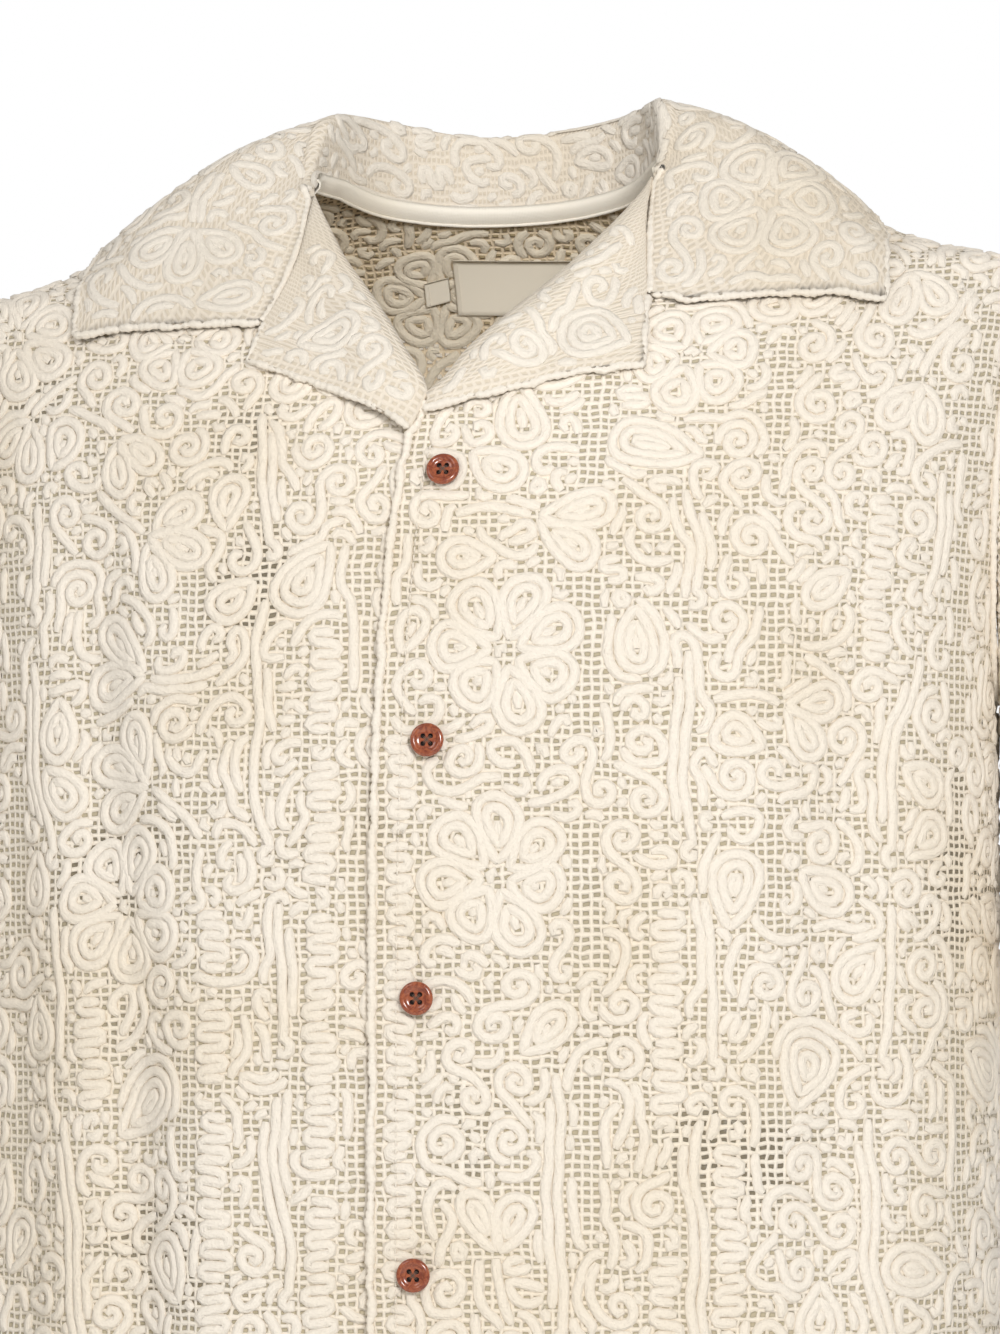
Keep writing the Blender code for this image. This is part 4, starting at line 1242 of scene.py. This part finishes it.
def collar_rows():
    """The collar's table for both halves, from the right gorge round the neck to the left one."""
    middle, spread = RIGHT_FOLD_RISE_AT
    right, left = [], []
    for seam_x, seam_y, fold_z, *edge in COLLAR_HALF:
        behind = math.exp(-(((seam_x - middle) / spread) ** 2)) * float(smooth(5, 30, seam_y))
        right.append((seam_x, seam_y, fold_z + RIGHT_FOLD_RISE * behind, *edge))
    for seam_x, seam_y, fold_z, edge_x, edge_y in COLLAR_HALF[-2::-1]:
        shift = float(LEFT_POINT_SHIFT * smooth(60, 170, abs(edge_x)) * smooth(5, -50, edge_y))
        left.append((-seam_x, seam_y, fold_z, shift - edge_x, edge_y + shift / 3))
    rows = [(k, *row) for k, row in enumerate(right + left)]
    return rows, [curve_through(rows, column) for column in range(1, 6)]


def on_front(x, level, out):
    return body(turn_at(x, level), level, out)


def gorge_line(gorge, share, aside):
    """The seam between collar and lapel, from the neck to the notch, as x and level."""
    side, neck_x, neck_at, notch_x, notch_at, bow = gorge
    x = mix(neck_x, notch_x, share) - side * bow * np.sin(math.pi * share)
    return x + side * aside, mix(neck_at, notch_at, share)


def stand_and_fold(seam_x, seam_y, fold_z):
    """The stand from the neck seam up, and the rolled fold at its top."""
    x, y = seam_x + NECK_MIDDLE, seam_y
    seam_z = level_at(x, y) + SEAM_ABOVE
    outward = unit(np.stack((seam_x, seam_y - LEAF_MIDDLE, 0 * seam_x), -1))
    radius = mix(FOLD_RADIUS_AT_GORGE, FOLD_RADIUS, smooth(5, 25, fold_z - seam_z))
    centre = np.maximum(fold_z - radius, seam_z + 1)
    section = [np.stack((x, y, mix(seam_z, centre, share)), -1) for share in np.linspace(0, 1, 9)[:-1]]
    for angle in np.linspace(180, 30, 10):
        bend = math.radians(angle)
        foot = np.stack((x, y, centre + radius * math.sin(bend)), -1)
        section.append(foot + outward * (radius * (1 + math.cos(bend)))[:, None])
    return section


def collar_sections(seam_x, seam_y, fold_z, edge_x, edge_y):
    """Stand, fold and fall, with the fall resting on the shoulders."""
    section = stand_and_fold(seam_x, seam_y, fold_z)
    start = section[-1]
    lift = np.maximum(start[:, 2] - level_at(start[:, 0], start[:, 1]), COLLAR_REST)
    for share in FALL_SHARES:
        x, y = mix(start[:, 0], edge_x, share), mix(start[:, 1], edge_y, share)
        level = level_at(x, y)
        depth = np.where(y < 0, front_depth(level), back_depth(level))
        turn = np.degrees(np.arctan2(x / half_width(level), -y / depth))
        above = body_normal(turn, level) * COLLAR_REST
        above[:, 2] += (lift - COLLAR_REST) * (1 - share**FALL_PUFF)
        section.append(np.stack((x, y, level), -1) + above)
    return lean(np.stack(section, 1))


def gorge_sections(seam_x, seam_y, fold_z, gorge):
    """The collar's two ends, which lie along the gorge seams."""
    one = [np.atleast_1d(value) for value in (seam_x, seam_y, fold_z)]
    section = [lean(point)[0] for point in stand_and_fold(*one)]
    for share in FALL_SHARES:
        x, level = gorge_line(gorge, share, GORGE_GAP)
        section.append(on_front(x, level, COLLAR_CLOTH + LAY_GAP))
    return np.stack(section)


def collar_points(finer=6):
    rows, curves = collar_rows()
    last = rows[-1][0]
    places = np.linspace(0.5, last - 0.5, int((last - 1) * finer) + 1)
    sections = collar_sections(*(curve(places) for curve in curves))
    ends = []
    for place, gorge in ((0, RIGHT_GORGE), (last, LEFT_GORGE)):
        ends.append(gorge_sections(*(float(curve(place)) for curve in curves[:3]), gorge))
    head = [mix(ends[0], sections[0], share) for share in np.linspace(0, 1, 5)[:-1]]
    tail = [mix(sections[-1], ends[1], share) for share in np.linspace(0, 1, 5)[1:]]
    return np.stack([*head, *sections, *tail])


def thick(name, points, normals, deep, material, uv):
    """A turned two-ply piece with soft round edges."""
    rows, columns = points.shape[:2]
    verts = [points.reshape(-1, 3), (points - normals * deep).reshape(-1, 3)]
    faces = [grid_faces(rows, columns), grid_faces(rows, columns, rows * columns)[:, ::-1]]
    uvs = [uv.reshape(-1, 2), uv.reshape(-1, 2)]
    count = 2 * rows * columns
    middle = points - normals * deep / 2
    rims = (
        ([(0, j) for j in range(columns)], (1, 0)),
        ([(rows - 1, j) for j in range(columns)], (-1, 0)),
        ([(i, 0) for i in range(rows)], (0, 1)),
        ([(i, columns - 1) for i in range(rows)], (0, -1)),
    )
    for rim, (di, dj) in rims:
        at = np.array(rim)
        own = middle[at[:, 0], at[:, 1]]
        out = unit(own - middle[at[:, 0] + di, at[:, 1] + dj])
        verts.append(own + out * deep * 0.4)
        uvs.append(uv[at[:, 0], at[:, 1]] + 0.8 * MM)
        top = at[:, 0] * columns + at[:, 1]
        low = top + rows * columns
        mids = count + np.arange(len(rim))
        count += len(rim)
        for a, b in ((top, mids), (mids, low)):
            faces.append(np.stack((a[:-1], a[1:], b[1:], b[:-1]), 1))
    return join(name, verts, faces, material, uvs)


class Patch(Cut):
    """A nearly flat part of a piece, laid flat by looking straight at it."""

    def __init__(self, points, faces, facing):
        verts = [Vector(p) for p in points]
        tree = BVHTree.FromPolygons(verts, np.asarray(faces).tolist())
        used = points[np.unique(faces)]
        middle, facing = used.mean(0), unit(np.asarray(facing))
        up = unit(np.array((0, 0, 1.0)) - facing * facing[2])
        right = np.cross(up, facing)
        a, b = (used - middle) @ right, (used - middle) @ up
        self.u = np.arange(a.min() - 6, a.max() + 9, self.STEP)
        self.v = np.arange(b.min() - 6, b.max() + 9, self.STEP)
        shape = (len(self.v), len(self.u))
        self.place, self.inside = np.zeros((*shape, 3)), np.zeros(shape)
        for i, v in enumerate(self.v):
            for j, u in enumerate(self.u):
                origin = middle + right * u + up * v
                hit = tree.ray_cast(Vector(origin + facing * 90), Vector(-facing))
                if hit[0] is None:
                    near = tree.find_nearest(Vector(origin))[0]
                    depth = (np.array(near) - middle) @ facing
                    self.place[i, j] = origin + facing * depth
                else:
                    self.place[i, j], self.inside[i, j] = hit[0], 1
        self.finish()


points = collar_points()
collar_normals = unit(np.cross(np.gradient(points, axis=0), np.gradient(points, axis=1)))
if collar_normals[len(points) // 2, -1, 1] < 0:
    collar_normals = -collar_normals
run_u, run_v = run_along(points[:, 30]), run_along(points, 1)
uv = np.stack((np.repeat(run_u[:, None], points.shape[1], 1), run_v), -1) * MM
collar = thick("collar_cloth", points, collar_normals, COLLAR_CLOTH, close_net, uv)
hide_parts("collar")

# the fall is laid flat in three parts, and the stand in one
FALL_FROM, STAND_TO, FALL_END = 10, 15, 48
count, deep = points.shape[:2]
all_faces = grid_faces(count, deep)
place_along, place_down = all_faces[:, 0] // deep, all_faces[:, 0] % deep
fall_parts = ((0, FALL_END, 61), (FALL_END, count - FALL_END - 1, 67), (count - FALL_END - 1, count, 71))
collar_layouts = []
for start, end, seed in fall_parts:
    chosen = all_faces[(place_along >= start) & (place_along < end) & (place_down >= FALL_FROM)]
    facing = collar_normals.reshape(-1, 3)[np.unique(chosen)].mean(0)
    layout = Layout(Patch(points.reshape(-1, 3), chosen, facing), seed, margin=2.0)
    fill(layout, 0.9)
    collar_layouts.append(layout)
stand_grid = np.moveaxis(points[:, :STAND_TO], 1, 0)
if np.cross(stand_grid[0, 1] - stand_grid[0, 0], stand_grid[1, 0] - stand_grid[0, 0])[0] < 0:
    stand_grid = stand_grid[:, ::-1]
stand_cut = Cut(stand_grid)
if stand_cut.normal[3, len(stand_cut.u) // 2, 1] > 0:
    stand_cut.normal = -stand_cut.normal
stand_layout = Layout(stand_cut, 73, margin=1.6)
fill(stand_layout, 0)
collar_layouts.append(stand_layout)
PLY_CORDS = {"step": 2.2, "raise_by": 1.0, "base": -0.1}  # flatter cords, sunk between two plies
EDGE_LUMPS = 1.7
collar_cords = cord_mesh("collar_cords", collar_layouts, ply_cotton_painted_shade, **PLY_CORDS)
lower = points[:, -1] - collar_normals[:, -1] * 1.0
collar_edge = edge_roll("collar_edge", [lower], 1.6, ply_cotton_painted_shade, 9, EDGE_LUMPS)
seams = [points[k, 9:] - collar_normals[k, 9:] * 1.2 for k in (0, -1)]
gorge_seams = edge_roll("collar_gorge", seams, 1.75, ply_cotton_painted_shade, 10, 0.8)

# ---------------------------------------------------------------- The lapels
# The turned-back tops of the two front facings, two plies of lace. They roll out of the front
# edges, lie open on the chest and are sewn to the collar at the gorge.

RIGHT_LAPEL_EDGE = (
    # share of the way from the roll's foot to the notch, x, level
    (0, -16.5, -118),
    (0.16, -28, -111.5),
    (0.36, -42, -104),
    (0.56, -57, -97),
    (1, -89.5, -83.5),
)
LEFT_LAPEL_EDGE = (
    (0, -10, -110.5),
    (0.2, 7.7, -107.7),
    (0.37, 23.6, -104.2),
    (0.7, 55.5, -96.2),
    (1, 82.5, -94.3),
)
LAPEL_ROLL_LIFT, ROLL_OVER, LAPEL_FINER_LOW, EDGE_CLEAR = 5.0, 1.2, 1.3, 1.0


def lapel_points(edge_rows, gorge, roll, rows=34, columns=26):
    """The lapel between its roll, its outer edge and the gorge, lifted a little along the roll."""
    side = gorge[0]
    edge_x, edge_level = curve_through(edge_rows, 1), curve_through(edge_rows, 2)
    neck, notch = gorge_line(gorge, 0.0, -GORGE_GAP), gorge_line(gorge, 1.0, -GORGE_GAP)
    t, share = np.meshgrid(np.linspace(0, 1, rows), np.linspace(0, 1, columns), indexing="ij")
    start_level = mix(edge_level(0.0), neck[1], t**LAPEL_FINER_LOW)
    at_edge = top_edge(start_level) + side * EDGE_CLEAR
    start_x = np.where(start_level < BREAK, at_edge, roll(start_level) - side * ROLL_OVER)
    near = (start_x, start_level)
    low = (edge_x(share), edge_level(share))
    high = gorge_line(gorge, share, -GORGE_GAP)
    blend = []
    for k in (0, 1):
        first, last = (float((edge_x, edge_level)[k](end)) for end in (0.0, 1.0))
        far = mix(last, notch[k], t)
        across, along = mix(near[k], far, share), mix(low[k], high[k], t)
        corners = mix(mix(first, neck[k], t), mix(last, notch[k], t), share)
        blend.append(across + along - corners)
    rolled = np.sin(math.pi * np.minimum(2 * share, 1)) * mix(0.35, 1, np.sin(math.pi * t))
    return on_front(*blend, COLLAR_CLOTH + LAY_GAP + LAPEL_ROLL_LIFT * rolled)


for name, edge_rows, gorge, roll, seed in (
    ("lapel_right", RIGHT_LAPEL_EDGE, RIGHT_GORGE, right_roll, 79),
    ("lapel_left", LEFT_LAPEL_EDGE, LEFT_GORGE, left_roll, 83),
):
    points = lapel_points(edge_rows, gorge, roll)
    normals = grid_normals(points)
    if normals[17, 13, 1] > 0:
        normals = -normals
    run_u, run_v = run_along(points, 1), run_along(points)
    uv = np.stack((run_u, run_v), -1) * MM
    lapel = thick(f"{name}_cloth", points, normals, COLLAR_CLOTH, close_net, uv)
    facing = normals.reshape(-1, 3).mean(0)
    patch = Patch(points.reshape(-1, 3), grid_faces(*points.shape[:2]), facing)
    layout = Layout(patch, seed, margin=1.8)
    fill(layout, 0.3)
    cords = cord_mesh(f"{name}_cords", [layout], ply_cotton_painted_shade, **PLY_CORDS)
    sunk = points - normals * 1.1
    outline = np.concatenate((sunk[0], sunk[1:, -1]))
    edge = edge_roll(f"{name}_edge", [outline], 1.55, ply_cotton_painted_shade, seed, EDGE_LUMPS)
    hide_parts(name)

# ---------------------------------------------------------------- The neck tape and the labels
# A plain woven cotton tape over the back neck seam inside, and a woven label with a small tab
# beside it. Both are bare, and are sewn on at their ends.

TAPE_ABOVE, TAPE_BELOW, TAPE_CLOTH = 2.6, 5.4, 0.9
TAPE_BOW = ((0, 0.25, 0.5, 0.75, 1), (1.25, 2.7, 2.5, 0.8, -1.0))  # share downwards, off the seam
LABELS = (
    # name, x from and to, level at the top and foot, slope
    ("label", (-27.5, 38.5), (-17, -40.5), 0.05),
    ("size_tab", (-42, -30.5), (-26.5, -36.5), -0.2),
)
LABEL_CLOTH, LABEL_CLEAR, LABEL_STITCH_PITCH, LABEL_STITCH_LONG = 0.55, 1.0, 2.2, 1.5


def woven_finish(name, tone, scale):
    """Plain weave with threads a set distance apart, in metres, and painted shade between the threads."""
    made, nodes, links, shader = new_material(name)
    tree = made.node_tree
    flat = add(nodes, "ShaderNodeUVMap", uv_map="flat_cut")
    tint = cotton_node(tree, tone)
    weave = add(nodes, "ShaderNodeGroup", node_tree=square_net)
    set_sockets(weave, Across=scale, Down=scale * 0.8, Upright=0.4, Level=0.4)
    links.new(flat.outputs["UV"], weave.inputs["Flat"])
    # painted shade: the weave darkens where its threads dip
    links.new(ramp_node(tree, weave.outputs["Height"], 0.8, 0.2, 0.0, 0.1), tint.inputs["Shade"])
    links.new(tint.outputs["Color"], shader.inputs["Base Color"])
    bump_node(tree, weave.outputs["Height"], 0.5, 0.0003, shader)
    set_sockets(shader, Roughness=0.7)
    return made


tape_weave = woven_finish("tape_weave", (0.93, 0.87, 0.76, 1), 0.0007)
label_weave = woven_finish("label_weave", (0.95, 0.87, 0.72, 1), 0.0005)

rows, curves = collar_rows()
places = np.linspace(1.2, rows[-1][0] - 1.2, 90)
seam_x, seam_y = curves[0](places), curves[1](places)
x, y = seam_x + NECK_MIDDLE, seam_y
seam_z = level_at(x, y) + SEAM_ABOVE
inward = unit(np.stack((-seam_x, LEAF_MIDDLE - seam_y, 0 * seam_x), -1))
tape_rows = []
for share, away in zip(*TAPE_BOW):
    z = seam_z + mix(TAPE_ABOVE, -TAPE_BELOW, share)
    tape_rows.append(lean(np.stack((x, y, z), -1) + inward * away))
tape_points = np.stack(tape_rows)
normals = np.repeat(inward[None], 5, 0)
down = np.linspace(0, TAPE_ABOVE + TAPE_BELOW, 5)[:, None]
uv = np.stack(np.broadcast_arrays(run_along(tape_points[0])[None], down), -1) * MM
tape = thick("neck_tape_cloth", tape_points, normals, TAPE_CLOTH, tape_weave, uv)
fold_line = tape_points[-1] - inward * 0.4 - (0, 0, 0.5)
edge_roll("neck_tape_fold", [fold_line], 0.75, tape_weave, 3, 0.3)
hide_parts("neck_tape")


def back_turn_at(x, level):
    """The turn at which the back has this x."""
    return solve(90.0 + 0 * x, 270.0 + 0 * x, lambda turn: ring_point(turn, level)[..., 0] > x)


for name, xs, levels, slope in LABELS:
    x, level = np.meshgrid(np.linspace(*xs, 25), np.linspace(*levels, 13))
    level = level - slope * (x - xs[0])
    points = body(back_turn_at(x, level), level, -CLOTH - LABEL_CLEAR)
    normals = -body_normal(back_turn_at(x, level), level)
    uv = np.stack((x, level), -1) * MM
    front = points + normals * 0.5
    piece = thick(f"{name}_cloth", front, normals, LABEL_CLOTH, label_weave, uv)
    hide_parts(name)
    # sewn down along the end beside the tab
    stitches = []
    for top in np.arange(levels[0] - 1.2, levels[1] + 2, -LABEL_STITCH_PITCH):
        at = np.linspace(top, top - LABEL_STITCH_LONG, 4)
        ends = (back_turn_at(at * 0 + xs[0] + 2, at), at)
        stitches.append(body(*ends, -CLOTH - 1.45) - body_normal(*ends) * 0.12)
    edge_roll(f"{name}_stitches", stitches, 0.22, label_weave, 5, 0.0)

# ---------------------------------------------------------------- The buttons
# Turned four-hole buttons of reddish nut with a raised rim, sewn on the right front with cotton
# thread and passed through the left front's buttonholes.

BUTTON_LEVELS = (-138, -252, -359, -473, -587)
BUTTON_RADIUS, BUTTON_THICK, HOLE_PITCH, HOLE_RADIUS = 7.1, 3.1, 3.3, 1.0
BUTTON_PROFILE = (
    # radius, height from the back, from the middle of the well over the rim to the back
    (0.01, BUTTON_THICK - 1.1),
    (2.8, BUTTON_THICK - 1.1),
    (4.0, BUTTON_THICK - 1.0),
    (4.6, BUTTON_THICK - 0.55),
    (5.0, BUTTON_THICK - 0.12),
    (5.6, BUTTON_THICK),
    (6.2, BUTTON_THICK - 0.05),
    (6.75, BUTTON_THICK - 0.45),
    (7.05, BUTTON_THICK - 1.0),
    (BUTTON_RADIUS, BUTTON_THICK - 1.5),
    (6.7, 0.7),
    (6.1, 0.2),
    (5.0, 0),
    (0.01, 0),
)
THREAD_RADIUS = 0.16


def nut_finish():
    """Reddish nut, polished, with a fine swirled grain."""
    made, nodes, links, shader = new_material("polished_nut")
    tree = made.node_tree
    grain = noise_node(tree, add(nodes, "ShaderNodeTexCoord").outputs["Object"], 420, 5)
    grain.inputs["Distortion"].default_value = 1.4
    tone = add(nodes, "ShaderNodeMix", data_type="RGBA")
    set_sockets(tone, A=(0.20, 0.034, 0.010, 1), B=(0.36, 0.09, 0.03, 1))
    links.new(ramp_node(tree, grain.outputs["Fac"], 0.35, 0.65), tone.inputs["Factor"])
    links.new(tone.outputs["Result"], shader.inputs["Base Color"])
    bump_node(tree, grain.outputs["Fac"], 0.15, 0.0002, shader)
    set_sockets(shader, Roughness=0.22, Coat_Weight=0.7, Coat_Roughness=0.12)
    return made


nut = nut_finish()
# painted shade: the drilled holes are painted near-black, for the shade inside them
hole_shade, nodes, links, shader = new_material("button_hole_shade")
grime = add(nodes, "ShaderNodeTexNoise")
grime.inputs["Scale"].default_value = 900
dull = ramp_node(hole_shade.node_tree, grime.outputs["Fac"], 0.3, 0.7, 0.6, 0.9)
links.new(dull, shader.inputs["Roughness"])
shader.inputs["Base Color"].default_value = (0.018, 0.006, 0.003, 1)
thread_cotton = cord_finish("thread_cotton", (0.17, 0.11, 0.08, 1))


def button_mesh():
    """The turned blank, with four holes drilled deep into its face."""
    turn = np.linspace(0, math.tau, 57)[:-1]
    verts = [(a * math.cos(t), a * math.sin(t), z) for a, z in BUTTON_PROFILE for t in turn]
    n, faces, rings = len(turn), [], len(BUTTON_PROFILE)
    for i in range(rings - 1):
        for j in range(n):
            k = (j + 1) % n
            faces.append((i * n + j, i * n + k, (i + 1) * n + k, (i + 1) * n + j))
    faces += [tuple(range(n))[::-1], tuple(range((rings - 1) * n, rings * n))]
    mesh = bpy.data.meshes.new("button_blank")
    mesh.from_pydata([tuple(c * MM for c in v) for v in verts], [], faces)
    blank = set_out("button_blank", mesh)
    drills = []
    for a, b in ((-1, -1), (-1, 1), (1, -1), (1, 1)):
        where = [c * MM for c in (a * HOLE_PITCH / 2, b * HOLE_PITCH / 2, 6.4)]
        bpy.ops.mesh.primitive_cylinder_add(
            vertices=20, radius=HOLE_RADIUS * MM, depth=12 * MM, location=where
        )
        drills.append(bpy.context.object)
        cut = blank.modifiers.new("hole", "BOOLEAN")
        cut.operation, cut.object = "DIFFERENCE", drills[-1]
    shaped = bpy.data.meshes.new_from_object(blank.evaluated_get(bpy.context.evaluated_depsgraph_get()))
    for tool in (*drills, blank):
        bpy.data.objects.remove(tool)
    shaped.materials.clear()
    shaped.materials.append(nut)
    shaped.materials.append(hole_shade)
    # the faces inside the holes get the painted shade
    for face in shaped.polygons:
        a, b = (abs(abs(c) / MM - HOLE_PITCH / 2) for c in face.center[:2])
        face.material_index = int(math.hypot(a, b) < HOLE_RADIUS + 0.02 and len(face.vertices) < 30)
    return shaped


blank_mesh = button_mesh()
for number, level in enumerate(BUTTON_LEVELS, 1):
    turn = turn_at(button_line(level), level)
    seat, above = body(turn, level, 1.4), body(turn, level, 10.0)
    outward = Vector(above - body(turn, level, 0.0)).normalized()
    spin = outward.to_track_quat("Z", "Y").to_matrix().to_4x4()
    spin.translation = Vector(seat) * MM
    mesh = blank_mesh.copy()
    mesh.transform(spin)
    mesh.shade_smooth()
    mesh.set_sharp_from_angle(angle=math.radians(40))
    button = set_out(f"button_{number}_turned", mesh)
    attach(button, "root")
    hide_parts(f"button_{number}")
    # two strands of thread each way across the well, down into the holes
    stitches = []
    half, low = HOLE_PITCH / 2, BUTTON_THICK - 1.1
    for side in (-1, 1):
        for aside in (-0.2, 0.2):
            arc = [
                (half * t - aside * side, side * half * t + aside, low + 0.15 - 1.5 * t**4)
                for t in np.linspace(-1, 1, 11)
            ]
            stitches.append([tuple(spin.to_3x3() @ Vector(p) + spin.translation / MM) for p in arc])
    edge_roll(f"button_{number}_thread", stitches, THREAD_RADIUS, thread_cotton, number, 0.2)

# ---------------------------------------------------------------- Studio
# A pale floor well below the hem and a white surround. The lights are soft: a flash from the
# front, a fill from the left, one behind and a narrow beam into the neck.

FLOOR_LEVEL, FLOOR_REACH = -1.0, 4
floor_mesh = bpy.data.meshes.new("floor")
corners = [(a * FLOOR_REACH, b * FLOOR_REACH, FLOOR_LEVEL) for a, b in ((-1, -1), (1, -1), (1, 1), (-1, 1))]
floor_mesh.from_pydata(corners, [], [(0, 1, 2, 3)])
floor = set_out("floor", floor_mesh)
paper, _, _, shader = new_material("pale_floor")
shader.inputs["Base Color"].default_value = (0.86, 0.86, 0.85, 1)
shader.inputs["Roughness"].default_value = 0.9
floor_mesh.materials.append(paper)

world = bpy.data.worlds.new("white_studio")
bpy.context.scene.world = world
world.use_nodes = True
nodes, links = world.node_tree.nodes, world.node_tree.links
sky = nodes["Background"]
sky.inputs["Color"].default_value = (1, 0.985, 0.96, 1)
sky.inputs["Strength"].default_value = 0.44
seen = add(nodes, "ShaderNodeBackground")
seen.inputs["Color"].default_value = (1, 1, 1, 1)
choose = add(nodes, "ShaderNodeMixShader")
links.new(add(nodes, "ShaderNodeLightPath").outputs["Is Camera Ray"], choose.inputs[0])
links.new(sky.outputs[0], choose.inputs[1])
links.new(seen.outputs[0], choose.inputs[2])
links.new(choose.outputs[0], nodes["World Output"].inputs["Surface"])


def aim(light, place, at):
    """Stand a lamp at one place and point it at another."""
    light.location = place
    light.rotation_euler = (Vector(at) - Vector(place)).to_track_quat("-Z", "Y").to_euler()


for name, place, size, power in (
    # metres and watts
    ("flash", (0.85, -2.25, 0.35), 0.5, 33),
    ("left", (-1.3, -1.8, 0.9), 1.0, 8),
    ("back", (0.3, 2.5, 0.3), 1.2, 20),
):
    lamp = bpy.data.lights.new(name, "AREA")
    lamp.size, lamp.energy = size, power
    aim(set_out(name, lamp), place, (0, 0, -0.25))

# a soft narrow beam into the neck
lamp = bpy.data.lights.new("neck", "SPOT")
lamp.spot_size, lamp.spot_blend, lamp.shadow_soft_size, lamp.energy = math.radians(5.0), 1.0, 0.12, 90
aim(set_out("neck", lamp), (0.22, -2.1, 0.12), (0.0, 0.06, -0.018))

# The photograph's camera: its angles round and above the shirt and its distance in metres, how
# far the view is moved sideways and down, and its focal length for a frame of so many pixels
azimuth, rise, distance = math.radians(9), math.radians(3.5), 2.128
ASIDE, DOWN, FOCAL_PIXELS, FRAME_PIXELS = 0.0067, 0.213, 4765, 1334
right = Vector((math.cos(azimuth), math.sin(azimuth), 0))
ahead = Vector((-math.sin(azimuth) * math.cos(rise), math.cos(azimuth) * math.cos(rise), math.sin(rise)))
up = right.cross(ahead)
lens = bpy.data.cameras.new("camera")
lens.sensor_fit, lens.sensor_height, lens.lens = "VERTICAL", 36, 36 * FOCAL_PIXELS / FRAME_PIXELS
camera = set_out("camera", lens)
view = Matrix((right, up, -ahead)).transposed().to_4x4()
view.translation = -distance * ahead + ASIDE * right - DOWN * up
camera.matrix_world = view
bpy.context.scene.camera = camera
bpy.context.scene.view_settings.view_transform = "Standard"
bpy.context.scene.view_settings.look = "None"
